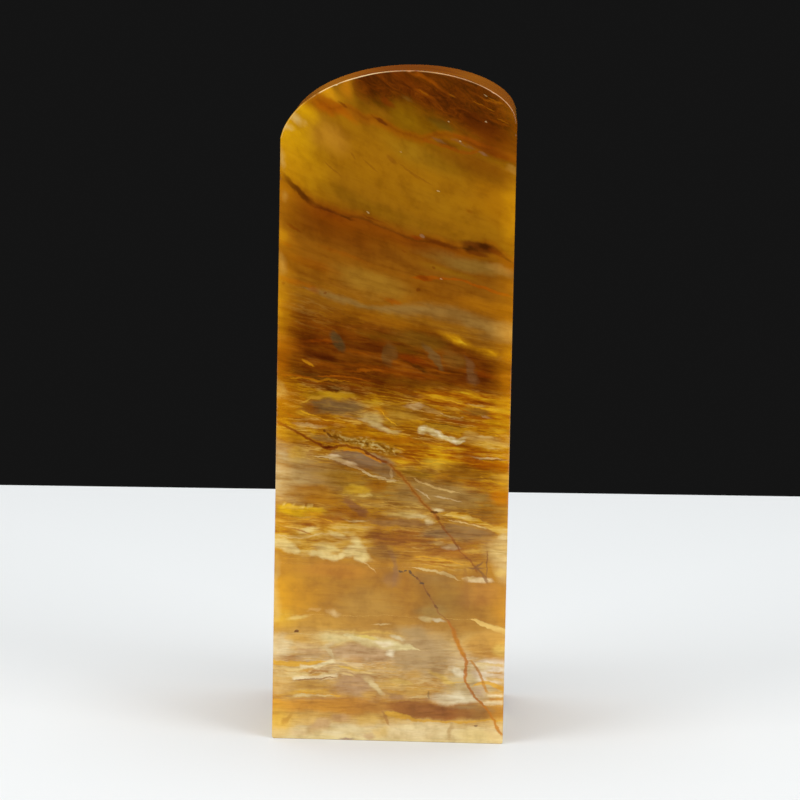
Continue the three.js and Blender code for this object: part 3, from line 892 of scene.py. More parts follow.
def paint_pale_belt(paint, gold, cream):
    """The pale belt under the first crack: tan at the left edge, a lilac wedge, and gold on the right."""
    paint.patches([
        (-11.4, 29, 3.8, 3.4, "#c2a672", 0.95, 0, 1.1, 0.3), (-7.6, 28.6, 3, 2, "#a07c4a", 0.8, 0, 1, 0.5),
        (-12.5, 29.4, 1.2, 3.4, "#c8b488", 0.8, 0, 1.1, 0.3), (-10.3, 31.2, 1.2, 1, "#c39a30", 0.55),
        (-11.3, 33.1, 2, 0.7, "#c08c18", 0.85), (-7.5, 32.9, 2, 0.35, "#8c6c3c", 0.7, -10),
        (-3.2, 32.6, 2.8, 0.45, "#9c7628", 0.75), (7.2, 31.2, 6.8, 1.4, gold, 0.92, 0, 0.6),
        (1.6, 30.6, 2.4, 0.6, gold, 0.85), (5.1, 30.2, 3, 0.55, "#c39527", 0.85),
        (4.4, 30.7, 1.6, 0.5, "#ccac34", 0.7, 0, 1), (2.3, 30.2, 1.4, 0.18, "#8a4c04", 0.8),
        (10.5, 31.15, 2.1, 0.14, "cream", 0.8), (11.2, 30.4, 2.4, 0.8, "#9c4f01"),
        (7.8, 29.6, 2.8, 0.9, "#8f5c0c", 0.85), (12, 28.9, 1.6, 0.7, "#cc9c34", 0.85),
        (9.8, 28.1, 3, 0.9, gold, 0.7), (11.8, 27, 1.9, 1.2, "#b86a02"),
        (-5.6, 28.5, 3, 1.1, "#9a7020", 0.85), (4.8, 27.1, 5.4, 1.6, "#9c7942", 0.9, 0, 0.8, 0.4),
        (2.6, 29.3, 2.4, 0.6, "#8c6414", 0.75), (-3.2, 30.6, 3.5, 0.85, "#886a4c", 0.97, -2, 0.45, 0.3),
        (-0.9, 29.5, 1.4, 0.9, "#8c6b42", 0.95, 0, 0.6, 0.3), (-4.7, 31.75, 1.8, 0.3, "#ba8216", 0.95)])
    paint.band([(-8.4, 31, 0), (-6, 30.55, 0.2), (-5, 30.25, 0.22), (-4.2, 29.9, 0.13), (-3, 29.4, 0.1),
                (-1.8, 28.85, 0.1), (-0.5, 28.5, 0.1), (0.8, 28.4, 0)], "#c8ae80", 0.8)
    paint.patches([
        (-4.7, 30.2, 0.9, 0.22, "#d4bc98", 0.85), (-6.4, 30.9, 0.9, 0.2, "#d4bc98", 0.8),
        (-1.6, 31.2, 1.1, 0.25, "#b89a68", 0.6)])
    paint.speck((-0.1, 29.3), (0.16, 0.55), "#b5986a", 0.7)
    paint.patches([
        (-3.7, 27.4, 1.3, 0.5, "#c49a28", 0.92, 8, 0.6), (-3, 26.9, 0.7, 0.25, "#d0b060", 0.8, 8),
        (-2, 26.2, 1.5, 0.3, "#b8862a", 0.85), (-1.9, 27.9, 1.1, 0.9, "#965c0a", 0.75),
        (-8.4, 27.1, 3.2, 0.9, "#b07616", 0.75), (-7.4, 26.1, 3, 0.8, "#a46a14", 0.8),
        (-5.2, 24.8, 2.4, 0.9, "#a06208", 0.85), (-3.9, 25.6, 1.5, 0.5, "#8c5c34", 0.9, -45, 0.7, 0.4),
        (-6.3, 24.9, 1, 0.3, "#8e4e08", 0.7)])
    paint.band([(2, 28.8, 0), (2.6, 28.6, 0.14), (3.5, 28.3, 0.12), (5, 27.85, 0.12), (6.6, 27.5, 0.12),
                (7.6, 27.3, 0)], "#c6a468", 0.9)
    paint.alike(paint.speck, [
        (3.2, 27.3, 0.8, 0.09, -28), (5.5, 26.8, 1.1, 0.08, -6), (6.9, 26.5, 0.7, 0.07, -8),
        (3.9, 26.9, 0.4, 0.07, -50)], "#c4aa80", 0.7)


def paint_gold_belt(paint, gold, cream):
    """The gold and cream belt in the middle of the lower half, with its scalloped lower edge."""
    paint.patches([
        (-8.2, 22.4, 7, 2.3, cream, 0.95, 0, 0.5), (-9.2, 23.6, 3.6, 0.7, gold, 0.7),
        (-9.8, 25, 2.6, 0.6, "#d6a810", 0.98, 4, 0.5, 0.6), (-10.4, 25.3, 1.6, 0.3, "#e0b440", 0.8, 6),
        (-8.3, 24.6, 1.2, 0.3, "#d09414", 0.8, -4), (-9.3, 24.1, 3, 0.2, "#b06c08", 0.6, 4)])
    for at in [(-11.6, 25.6), (-10.4, 25.7), (-9.4, 25.6), (-8.7, 25.6)]:
        paint.patch(at, (0.35, 0.25), "#ecd078", 0.7, tilt=60, soft=1)
    paint.patches([
        (-6.8, 24, 1.9, 0.5, "#b06e0c", 0.85), (-4, 24.05, 1.6, 0.17, "cream", 0.85),
        (1, 23.9, 3.8, 0.5, "#966c3a", 0.85, 0, 0.8, 0.4), (1.2, 22.2, 4, 1.3, "#8a4e0a", 0.92),
        (-0.8, 20.7, 1.8, 1.2, "#926420", 0.85)])
    paint.alike(paint.patch, [
        (-12.1, 21.2, 0.8, 0.45), (-10.9, 20.9, 0.9, 0.5), (-10.1, 20.5, 0.5, 0.35), (-8.2, 20.3, 0.6, 0.4),
        (-7.2, 20.3, 0.8, 0.55), (-6.2, 20, 0.7, 0.4), (-5.4, 20.3, 0.6, 0.45), (-4.4, 20.7, 0.9, 0.7),
        (-3.5, 20.9, 0.9, 0.8), (-3.2, 20, 0.8, 0.5)], "#e2cc8c", 0.9, ragged=0.35)
    paint.alike(paint.patch, [
        (-11.4, 21.4, 1.2, 0.5, -10), (-6.8, 21, 1.5, 0.5), (-3.9, 21.8, 0.9, 0.6, -40),
        (-2.9, 20.5, 1.1, 0.5, -40), (-8.9, 22.8, 1.4, 0.35, 10),
        (-5.6, 22.4, 1, 0.3, -20)], "#e2cc88", 0.85, soft=0.9, ragged=0.5)
    paint.patches([
        (-9, 21.5, 1.2, 0.3, "#d0a030", 0.8, -20), (-5.1, 21.6, 0.9, 0.25, "#d4a838", 0.75, 30),
        (1.6, 24.9, 2.4, 0.6, "#c9aa62", 0.92, 0, 0.9), (2.8, 24.6, 1.4, 0.36, "cream", 0.8),
        (4.6, 25.55, 0.7, 0.28, "ivory", 0.85), (4, 24.3, 0.6, 0.4, "sand", 0.85),
        (7.6, 23.1, 3.8, 1, "#96703f", 0.97, 0, 0.7, 0.3), (4, 24.1, 0.5, 0.4, "#d8c498", 0.85, 0, 0.9)])
    paint.band([(4.8, 25, 0), (7, 24.9, 0.4), (8.5, 24.6, 0.35), (10, 24.1, 0.36), (11.3, 23.5, 0.55),
                (12.5, 23, 0.9)], cream, 0.95)
    paint.patches([
        (9.6, 23.95, 2, 0.1, "#b06c14", 0.7), (6.2, 20.9, 3.8, 0.7, "#a5640e"),
        (4.9, 21.9, 1.2, 0.3, "#c09a58"), (6.4, 21.45, 1.1, 0.32, "#ceb284", 0.92),
        (9.1, 21.1, 1.5, 0.33, "#cea03c", 0.88), (12.4, 20.4, 1.6, 3, "#dcc68c", 0.95, 0, 1.1, 0.5),
        (11.4, 21.4, 1.8, 1.6, "#d8c080", 0.75, 0, 1.1), (4.6, 22.8, 1.6, 0.6, "#8c6c44", 0.85),
        (11.9, 18.8, 1, 0.6, "#d8b458", 0.6, 0, 1.1), (12.3, 22.6, 0.9, 0.5, "#e4cf94", 0.8),
        (5.3, 19.6, 4, 0.85, cream, 0.7), (5, 19.9, 3, 0.4, gold, 0.8)])
    paint.band([(2.6, 19, 0), (4, 18.8, 0.16), (5, 18.65, 0.16), (6.5, 18.35, 0.2), (7.8, 17.9, 0)],
               "#cdb074", 0.9)


def paint_amber_zone(paint):
    """The clear amber zone with its pale clouds."""
    paint.patches([
        (-11.8, 15.8, 5.4, 4.2, "#cc9010", 0.98, 0, 1.25, 0.2),
        (-8.6, 12.8, 5.6, 1.1, "#d0a040", 0.7, 0, 1), (-11.6, 13.2, 2.2, 1.4, "#d8ac30", 0.7, 0, 1.1),
        (-12.6, 16, 0.7, 4.6, "#d8b468", 0.8, 0, 1.25, 0.2), (-6, 18.6, 5, 1, "#bb7c20", 0.7),
        (-2.5, 15, 4, 2, "#b48a3c", 0.6), (0, 17.8, 1.3, 1, "#996c3c", 0.7),
        (0.3, 18.9, 0.4, 2.2, "#8c6440", 0.65), (5, 17.7, 3, 1.1, "#9a7030", 0.85),
        (10, 16.3, 3, 1.6, "#b67c2e", 0.75), (6, 15.5, 3.5, 2.6, "#906a28", 0.7, 0, 1.1, 0.4),
        (8.2, 16.2, 0.9, 1.7, "#8c5c24", 0.55, 0, 1.1), (1.6, 17.6, 1.3, 1.2, "#9c6414", 0.7, 0, 1.1),
        (4.8, 14.4, 2.2, 0.8, "#9a7c40", 0.6), (12.4, 15, 1.1, 2.6, "#b47a1c", 0.7),
        (9.5, 17.9, 1.3, 0.36, "#dcc294", 0.95, -4, 0.7), (8.5, 18.2, 0.6, 0.24, "cream", 0.7)])
    paint.band([(8.4, 13.7, 0), (9.5, 13.4, 0.24), (10.5, 13, 0.3), (11.5, 12.6, 0.36), (12.6, 12.3, 0.4)],
               "#dcb868", 0.95)
    paint.patches([
        (-10, 13.4, 1.4, 0.32, "#e0c474", 0.8, 10, 1), (-5.9, 14, 0.8, 0.36, "#d0b078", 0.85, -22, 1),
        (-8.2, 14.3, 1, 0.2, "#d0a868", 0.4), (3.9, 13.6, 0.8, 0.33, "#c8b078", 0.85),
        (5.4, 13.5, 0.9, 0.24, "#c8b894", 0.85, -14), (-0.6, 12.75, 1.1, 0.1, "cream", 0.75)])
    paint.speck((-10, 11.85), (0.3, 0.15), "#64340e", 0.9, tilt=15)


def paint_cream_tangle(paint):
    """The cream strands, lilac clouds and stripes above the foot's dark band."""
    paint.patches([
        (-12, 10.2, 1.8, 1.5, "#e0d2ac", 0.85), (-12, 6.4, 1, 1.6, "#dcc890", 0.6),
        (-9.8, 11, 1.6, 0.6, "#cc9c40", 0.7), (-8.5, 9.9, 2, 0.7, "#c8a273", 0.7),
        (-2.9, 9.8, 3.8, 0.95, "#c6a67e", 0.95, 0, 0.6, 0.4), (-1, 9, 1.2, 0.5, "#ac8458", 0.75),
        (-3.4, 8.9, 1.2, 0.5, "#bc8c50", 0.75), (3.6, 9.8, 3.8, 2.8, "#b29468", 0.95, 0, 0.8, 0.4),
        (2.8, 7.5, 1.6, 0.5, "#c09448", 0.75), (10.6, 10.9, 3, 1.6, "#c69440", 0.92, 0, 0.6, 0.4)])
    paint.band([(-7, 12.05, 0), (-5, 12, 0.14), (-2, 12, 0.22), (0, 11.8, 0.2), (1.6, 11.4, 0)],
               "#d8b458", 0.6, edge=0.9)
    paint.patches([
        (2.4, 12, 2.2, 0.8, "#a88a5c", 0.8), (-5.4, 11.4, 2.8, 0.8, "#dac890", 0.9, 0, 0.9),
        (-6.6, 10.5, 1.4, 0.3, "#d4bc90", 0.8, 20), (-8.8, 10.1, 2, 0.2, "#d4b880", 0.7, 12)])
    paint.band([(-5, 11.6, 0), (-4, 11.5, 0.45), (-3, 11.2, 0.55), (-1.5, 11, 0.6), (0, 10.7, 0.65),
                (1.2, 10.4, 0.5), (2.4, 10.4, 0.2), (3.6, 10.2, 0)], "#dccc98", 0.95, edge=0.8)
    paint.patches([
        (-2.6, 11.5, 1.6, 0.2, "#d8c060", 0.8, -14), (-0.6, 10.8, 1.4, 0.3, "#ece0c0", 0.9, -10),
        (0.8, 11.4, 0.9, 0.25, "#d4c8a8", 0.8, -20), (-6.4, 9.7, 0.9, 0.3, "#dccaa0", 0.8, -60),
        (0.1, 9.75, 0.9, 0.45, "#f0e6cc")])
    paint.band([(-12.6, 8.4, 0.26), (-10, 8.3, 0.3), (-8, 8.55, 0.2), (-5.6, 8.9, 0)], "#deac34", 0.92)
    paint.band([(-12.6, 7.85, 0.2), (-10, 7.75, 0.24), (-8, 8.1, 0.2), (-5.8, 8.5, 0)], "#e0c482", 0.9)
    paint.patch((-9, 7.2), (3, 0.36), "#e2ca8c", 0.92)
    paint.line([(-10.6, 6.5), (-9.4, 6.75), (-8, 6.8), (-6.6, 6.95), (-5.2, 7.1)], 0.3, "#e6d4ac", 0.9)
    paint.line([(-9.8, 8), (-8.6, 7.9), (-7.4, 8.2), (-6.4, 8.6), (-5.6, 8.7)], 0.26, "#e8d8ac", 0.9)
    paint.line([(-8.8, 7.2), (-7.6, 7.6), (-6.2, 7.5)], 0.16, "#a87434", 0.8)
    paint.patches([
        (-8.7, 7.75, 1, 0.22, "#c48e2c", 0.85, 6), (-7.8, 7.25, 0.8, 0.22, "#be8828", 0.85, 8),
        (-11.4, 5.9, 1.8, 1, "#d4b070", 0.7), (-8, 6, 2.7, 0.65, "#be9140", 0.88)])
    paint.band([(-11, 6.5, 0), (-9, 6.58, 0.1), (-7.5, 6.75, 0.1), (-5.6, 7, 0)], "#946430", 0.8)
    paint.patches([
        (-8.4, 5.15, 2.6, 0.3, "#e0b448", 0.85), (-9.3, 4.75, 1.5, 0.2, "cream", 0.85),
        (-6.6, 4.8, 1.6, 0.12, "cream", 0.75), (-3.8, 6.2, 2.5, 1.5, "#b6916a", 0.95, 0, 0.7, 0.5),
        (-4.2, 8, 2, 0.17, "#deb850", 0.85, -10), (-2.9, 7.5, 1.8, 0.15, "#dcc084", 0.8, -8),
        (-4.6, 7.4, 1, 0.12, "#dcc084", 0.7, -6), (-1.6, 6.1, 1.7, 0.4, "#dcc896", 0.9, -42),
        (-2.3, 5.1, 1, 0.5, "#d0a24c", 0.7), (1.3, 6.6, 1.7, 0.3, "#d4b464", 0.85, -12),
        (2.8, 5.5, 1.8, 0.4, "#cca350", 0.75), (3.5, 4.95, 1.6, 0.16, "cream", 0.7),
        (1, 4.9, 1, 0.35, "#a67d53", 0.85)])
    paint.speck((4.4, 5.2), (0.12, 0.45), "#8a6c3c", 0.7)
    paint.patches([
        (9.4, 6.7, 3.6, 2.4, "#c2ac80", 0.95, 0, 0.7, 0.8), (9.6, 5.6, 1.2, 0.8, "#c4a48c", 0.7, 0, 1),
        (9.6, 7.6, 0.8, 0.8, "#cbb09a", 0.7, 0, 1), (9.4, 8.3, 0.8, 0.7, "#e0ccb0", 0.75, 0, 1),
        (7.1, 4.9, 3, 0.85, "#e2d6b8", 0.92), (5.9, 7.2, 1.7, 0.4, "#d9b75c", 0.85, -28),
        (11.6, 8.1, 2.6, 1.3, "#efe6d8", 0.97, 0, 0.8, 0.7), (11, 6.9, 1.8, 0.5, "#e8dcc8", 0.85),
        (7.3, 7.8, 1.1, 0.4, "#e0d4b8", 0.9, -30), (12.3, 10.2, 1.1, 1, "#d8b860", 0.75)])
    paint.line([(9.4, 8.75), (11, 8.7), (12.6, 8.6)], 0.2, "#d8b45c", 0.75)
    paint.line([(10.4, 7.9), (11.6, 7.85), (12.6, 7.8)], 0.16, "#d0a85c", 0.7)
    paint.line([(10.4, 7.2), (11.6, 7.15), (12.6, 7)], 0.2, "#dcb458", 0.7)
    paint.line([(10.6, 5.3), (11.8, 5.4), (12.6, 5.3)], 0.22, "#e8d8b4", 0.85)
    paint.line([(10.8, 4.9), (11.8, 4.85), (12.6, 4.9)], 0.18, "#b87c34", 0.8)
    paint.line([(9.9, 4.4), (11.4, 4.5), (12.6, 4.6)], 0.3, "#e4d2ac", 0.85)
    paint.patch((9.8, 8.3), (1.4, 0.6), "ivory", 0.8)
    paint.band([(8.6, 6.2, 0), (9.8, 6.5, 0.2), (10.8, 6.6, 0.24), (11.6, 6.4, 0.3), (12.6, 6, 0.4)],
               "#dca83c", 0.92)
    paint.patches([
        (11.7, 5.5, 1.2, 0.26, "#d0a050", 0.7), (7.6, 6.7, 1.7, 0.12, "#d8b050", 0.7)])


def paint_foot(paint):
    """The brown band above the foot, and the cream foot."""
    tan_to_brown = [(-12.5, "#d29628"), (-10, "#ce9230"), (-6, "#c28628"), (-3, "#bc8230"), (-1, "#ba8436"),
                    (0.6, "#a06424"), (3, "#925a24"), (7, "#965a24"), (10, "#96662c"), (12.5, "#a87024")]
    brown = paint.ramp(paint.soft_along, [(course_share(x), code) for x, code in tan_to_brown])
    paint.patches([
        (-9.5, 0.8, 1.6, 0.5, "#d8be92", 0.75, 5, 1, 0.5), (-8, 1.2, 0.8, 0.9, "#bc9a68", 0.75, 60, 1, 0.5),
        (-5.8, 0.7, 1.3, 0.4, "#dccba4", 0.75, 0, 1, 0.5), (-3.2, 1.8, 0.5, 1, "#caa668", 0.75, 80, 1, 0.5),
        (-2.6, 0.6, 1.2, 0.4, "#dccba0", 0.75, -15, 1, 0.5),
        (-0.6, 1.1, 0.9, 0.7, "#dcb654", 0.75, 30, 1, 0.5),
        (1.2, 0.7, 1.4, 0.5, "#d8c08c", 0.75, -10, 1, 0.5),
        (2.6, 1.7, 1.6, 0.4, "#e0cc94", 0.75, 5, 1, 0.5), (4.8, 0.8, 1.2, 0.5, "#caa664", 0.75, 20, 1, 0.5),
        (7.8, 0.6, 1.4, 0.4, "#d8c290", 0.75, 0, 1, 0.5), (11.2, 1.2, 1, 0.6, "#c8a478", 0.75, -30, 1, 0.5),
        (9, 1.6, 1.2, 0.3, "#e2cf9c", 0.75, -5, 1, 0.5),
        (3, 1.2, 4.8, 1.2, "#e4d2a8", 0.65), (9.6, 1, 3, 0.9, "#e0c98c", 0.8),
        (-4, 1.4, 2.1, 0.6, "#d8c69a")])
    paint.between([(-12.5, 3.2), (-8, 3.1), (-5, 3), (-3, 2.7), (-1, 3.1), (0, 3.3), (1, 3.05), (3, 2.6),
                   (5, 2.45), (6.5, 2.4), (8, 2.75), (10, 2.7), (12.5, 2.8)],
                  [(-12.5, 4.5), (-8, 4.3), (-6, 4.45), (-4, 4.6), (-2.5, 4.5), (-1, 4.2), (0, 4.3),
                   (2, 4.6), (4, 4.4), (5, 4.1), (6.5, 4), (8, 4.3), (10, 4.1), (12.5, 4)], brown, 0.95, 0.3)
    paint.patches([
        (8.6, 3.9, 1.9, 0.3, "#9f7c4c", 0.85), (10.9, 3.7, 1.4, 0.36, "#946c3c", 0.85)])
    paint.band([(-0.6, 3.1, 0), (0.4, 2.95, 0.28), (1.6, 2.8, 0.28), (3, 2.45, 0.16), (5, 2.25, 0.12),
                (7, 2.35, 0.1), (12.6, 2.6, 0.08)], "#d0a030", 0.8)
    paint.patches([
        (-11.9, 1.9, 2.2, 1.7, "#dfb244", 0.85, 0, 1, 0.5), (-11.6, 0.6, 1.2, 0.5, "#d8be84", 0.7),
        (-10.8, 2.3, 1.3, 0.22, "#bc8a36", 0.8, 52), (-8.8, 2.2, 1.6, 0.6, "#d8b061", 0.6),
        (-7, 1.7, 1.2, 0.9, "#c49e70", 0.75), (-5, 2.5, 1.4, 0.5, "#c49c70", 0.7),
        (-1.9, 0.5, 0.8, 0.4, "#c09c74", 0.7), (-2, 2.3, 1.2, 0.8, "#d0aa58", 0.7),
        (6.7, 1.2, 0.35, 1.2, "#b8945c", 0.7), (-4.3, 0.2, 1.1, 0.16, "#9a7a70", 0.85)])
    paint.speck((9.6, 1.95), (0.22, 0.13), "#86684a", 0.85)


def paint_strands(paint):
    """Single fibres that catch the light, and a few dark ones between them."""
    for colour, width, strength, courses in [
            ("#d8a01c", 0.1, 0.75, [
                [(3.2, 37.9), (6, 37.3), (9, 36.6), (12.4, 36)],
                [(-10.2, 35.9), (-8.6, 35.4), (-7, 34.9), (-5, 34.7)],
                [(-1.5, 36.2), (-0.6, 35.2), (0.6, 34.4)],
                [(2.5, 33), (4, 32.6), (5.4, 32.6)],
                [(2, 31.2), (3.6, 30.4), (5, 30.6), (6.4, 30.2)],
                [(-2.4, 32.7), (0, 32.3), (2, 31.6), (4, 31.3)],
                [(9.3, 29.2), (11, 28.6), (12.5, 28.4)],
                [(-12.4, 24.4), (-10, 24.1), (-8, 24.3), (-6, 23.9)],
                [(2.4, 20.4), (4.4, 20.2), (6.5, 19.9), (8, 19.4)],
                [(-10, 5.2), (-8.4, 5.1), (-6.4, 5), (-5, 4.8)]]),
            ("#a05404", 0.1, 0.7, [
                [(4, 37.2), (7, 36.5), (8.6, 35.9)],
                [(-12.4, 36.5), (-11, 35.3), (-9, 34.8)],
                [(1.4, 33.2), (3.4, 32.8), (5.6, 32.4), (8, 32.4)],
                [(-12.3, 23.3), (-10, 22.9), (-8.4, 22.4)],
                [(3, 19.7), (5, 19.5), (7, 19.1)],
                [(-12.2, 39.7), (-9, 39.5), (-5, 39.6), (-2, 39.1)]]),
            ("#dcc080", 0.09, 0.65, [
                [(4.8, 36), (6.5, 35.4), (7.6, 35.5)],
                [(-2.5, 29.1), (-1, 28.6), (0.6, 28.4)],
                [(6, 24.4), (8, 24.1), (10.4, 23.5)],
                [(-12.4, 22.4), (-10, 22), (-7, 22.6), (-4, 22.2)],
                [(-3.4, 20), (-2.6, 19.4), (-2, 18.9), (-1.4, 18.4)],
                [(-7.4, 10), (-6, 10.3), (-5, 10.7), (-4.2, 10.9)],
                [(-5, 8.7), (-3.6, 8), (-2.4, 7.5), (-0.6, 7)],
                [(-6, 7.8), (-4.6, 7.4), (-3.4, 7)]]),
            ("#5c3006", 0.08, 0.7, [
                [(8.6, 31.2), (10.4, 31), (12.5, 31.1)],
                [(-6.4, 33.1), (-4.4, 32.8), (-2, 32.3), (0.4, 31.9)],
                [(3.2, 34.9), (5.4, 34.7), (8, 34.4)]])]:
        for points in courses:
            paint.line(points, width, colour, strength, broken=True)


def paint_cracks(paint):
    """The healed cracks: rust lines that cross the layers."""
    crack = [(-12.6, 34.75), (-11, 33.9), (-9.5, 33.1), (-8.5, 32.6), (-7.5, 32.05), (-6.7, 31.8),
             (-6.2, 31.9), (-5.6, 32.2), (-4.5, 32.05), (-3.2, 31.8), (-2.3, 31.2), (-1.3, 30.7),
             (-0.3, 30.45)]
    paint.line(crack, 0.17, "#7c3c08", 0.9)
    paint.line([(-5.4, 31.5), (-4.4, 31.75), (-3.2, 31.5), (-2.2, 30.9), (-1, 30.4)], 0.13, "#c07810", 0.8)
    paint.patch((-7, 31.85), (0.8, 0.15), "purple_brown", 0.9)
    steep = [(-0.6, 30.6), (0, 30), (1, 29), (2, 27.9), (3, 26.6), (4, 25.6), (4.6, 25.1), (4.9, 24.4),
             (5.3, 24), (6, 23), (6.7, 22.3), (7.2, 21.3), (8, 20.5), (9, 19.5), (9.4, 18.6)]
    paint.line(steep[:8], 0.42, "#a86c20", 0.6, aside=True)
    paint.line(steep, 0.17, "#945414", 0.75, aside=True)
    paint.speck((4.65, 25.2), (0.45, 0.16), "#583008", 0.85)
    paint.speck((5, 24.6), (0.35, 0.16), "#6e3c08", 0.75, -50)
    paint.alike(paint.speck, [
        (9.2, 19.2, 0.9, 0.12, -4), (9.4, 19.5, 0.8, 0.12, 40), (9.5, 19, 0.7, 0.12, -45),
        (10.35, 19.7, 1.5, 0.1, 86), (10.2, 18.1, 0.7, 0.2, -65)], "#8a5c2c", 0.8)
    upper = [(2.1, 18.7), (2.8, 18.1), (3.4, 17.5), (3.9, 16.6), (4.3, 16), (5, 14.8), (5.6, 13.9),
             (6.3, 13.6), (6.6, 13)]
    paint.line(upper, 0.12, "#8c5426", 0.65, aside=True)
    for at, tilt in [((2.9, 18), -45), ((4.1, 16.2), -50), ((5, 14.9), -50)]:
        paint.speck(at, (0.3, 0.1), "#5c3418", 0.55, tilt)
    lower = [(6.2, 13.6), (6.8, 12.6), (7.3, 11.3), (7.8, 10.2), (8.2, 9.4), (8.4, 9.1), (8.3, 8),
             (8.3, 7), (8.6, 6.4), (9.2, 5.4), (10, 4.5), (10.8, 3.6), (11.5, 2.6), (11.9, 1.7), (12.5, 0.7)]
    paint.line(lower, 0.2, "#b26a16", 0.9, aside=True)
    paint.line([(6.8, 12.6), (7.3, 11.3), (7.8, 10.2), (8.3, 9.3)], 0.34, "#c07c18", 0.8, aside=True)
    branch = [(8.4, 9.3), (9.2, 8.7), (9.8, 7.8), (10.2, 6.9), (10.5, 6), (10.8, 5.4)]
    paint.line(branch, 0.2, "#c08020", 0.8, aside=True)
    paint.alike(paint.speck, [
        (1.15, 18.65, 0.25, 0.14, -8), (1.6, 18.75, 0.2, 0.08, 30), (2.15, 18.6, 0.3, 0.14, -50),
        (2.5, 18.2, 0.2, 0.1, -45), (3.4, 17.45, 0.22, 0.14, -20)], "#54402e", 0.85)
    mottle = paint.ramp(paint.noise(paint.grain(1.7, 3), 1, 2, 0.5), [
        (0.36, "#6c440c"), (0.44, "#94661a"), (0.52, "#b08834"), (0.62, "#d2bc7c")])
    paint.alike(paint.patch, [
        (-5.4, 32.9, 2.2, 0.6, -10), (-2.6, 32.4, 2.2, 0.7, -10),
        (-0.2, 31.8, 1.6, 0.6, -10)], mottle, 0.75, soft=1)
    paint.alike(paint.speck, [
        (-7.3, 33.7, 0.2, 0.12, -30), (-6.8, 33.3, 0.35, 0.14, -30)], "#5c3008", 0.8)
    paint.line([(-0.7, 3.5), (-0.1, 2.4), (0.2, 1.6)], 0.2, "#a8763c", 0.7, aside=True)
    paint.line([(8, 19.4), (8.2, 17), (8.3, 14.6)], 0.24, "#9c6824", 0.5, aside=True)


def paint_flecks(paint):
    """A few pale flecks."""
    paint.alike(paint.speck, [
        (0.3, 63.7, 0.12, 0.06), (4.3, 59.6, 0.14, 0.09), (6.5, 64.9, 0.14, 0.1), (-3.1, 57.2, 0.14, 0.1),
        (5.2, 67, 0.14, 0.1), (9.2, 67, 0.14, 0.1), (9.1, 69.8, 0.2, 0.06),
        (4.8, 50.3, 0.1, 0.08)], "#c9b48a", 0.5)


def make_threads(paint):
    """Fine wavy threads in the fibrous layers, brown ones and bright ones, as (cover, colour)."""
    brown_levels = [(0, 0.1), (3, 0.2), (9, 0.25), (12, 0.1), (19, 0.1), (21, 0.5), (29, 0.4), (31, 0.7),
                    (39, 0.7), (43, 0.45), (46, 0.15), (57, 0.05), (66, 0)]
    bright_levels = [(0, 0.15), (3, 0.2), (5, 0.6), (9, 0.45), (12, 0.06), (19, 0.06), (21, 0.7), (26, 0.5),
                     (28, 0.3), (31, 0.7), (38, 0.6), (40, 0.15), (45, 0.1), (50, 0)]
    tones = paint.ramp(paint.waves, [(0.4, "amber"), (0.5, "gold"), (0.62, "#d4ac54")])
    threads = []
    for across, upwards, colour, levels in [(0.17, 1.3, "#8a5008", brown_levels),
                                            (0.2, 1.6, tones, bright_levels)]:
        away = paint.off(paint.noise(paint.grain(across, upwards), 1, 4, 0.62), 0.5)
        threads.append((paint.times(paint.smooth(away, 0.05, 0.01), paint.by_level(levels)), colour))
    return threads


def lay_threads(paint, threads, strength):
    """Covers the colour so far with the threads."""
    for cover, colour in threads:
        paint.lay(paint.times(cover, strength), colour)


def paint_rims(paint, normal):
    """The ground crown, and the rim between it and the front, frosted and with a painted highlight along it.
    Returns how far it is crown.
    """
    across, backwards, upwards = paint.split(normal)
    facing_up = paint.smooth(upwards, 0.2, 0.5)
    behind = paint.smooth(paint.depth, 0.08, 0.25)
    along = paint.math("MULTIPLY_ADD", paint.x, 1 / COURSE_WIDTH, 0.5)
    wavy = paint.math("MULTIPLY_ADD", paint.math("SUBTRACT", paint.waves, 0.5), 0.4, along)
    ground = paint.ramp(wavy, [(course_share(x), code) for x, code in [
        (-12, "#a05a08"), (-8, "#cc7e0e"), (-5, "#c06c04"), (-2, "#a85604"), (1, "#a05002"), (4, "#a85800"),
        (8, "#b86a06"), (12, "#a85c04")]])
    crown = paint.times(facing_up, behind)
    paint.lay(paint.times(crown, 0.95), ground)
    # The rim's cream where it faces up and to the front is partly frost and partly a painted highlight line,
    # with a few dark nicks.
    towards_front = paint.smooth(backwards, -0.5, -0.8)
    frost_and_highlight = paint.ramp(along, [(course_share(x), code, cover) for x, code, cover in [
        (-12.5, "#dcb064", 0.5), (-10.6, "#dcb064", 0.4), (-9.6, "#dcb064", 0.1), (-9, "#ecc890", 0.7),
        (-8.7, "#5c3008", 0.6), (-8.3, "#f4dcac", 0.9), (-4, "#f0d4a0", 0.9), (0, "#dcb078", 0.7),
        (1.4, "#d8a868", 0.6), (1.7, "#5c3008", 0.5), (2.1, "#d8a868", 0.6), (8, "#e4b484", 0.75),
        (10, "#f0c49c", 0.9), (12.5, "#ecc094", 0.85)]])
    worn = paint.times(frost_and_highlight.node.outputs["Alpha"], paint.math("MULTIPLY_ADD", paint.waves, 1.6, 0))
    paint.lay(paint.times(paint.times(facing_up, towards_front), worn), frost_and_highlight)
    return crown


def paint_cuts(paint):
    """Pale stone dust in the cuts of the seal face. Returns how far a place lies in them."""
    off_middle = paint.math("MAXIMUM", paint.math("ABSOLUTE", paint.x), paint.math("ABSOLUTE", paint.y))
    inside = paint.times(paint.smooth(off_middle, CUTS_REACH + 0.1, CUTS_REACH),
                        paint.smooth(paint.z, CUTS_TOP, CUTS_TOP - 0.1))
    cut = paint.times(inside, paint.smooth(paint.z, 0, 0.15))
    paint.lay(paint.times(cut, 0.6), "#e8dcbc")
    return cut


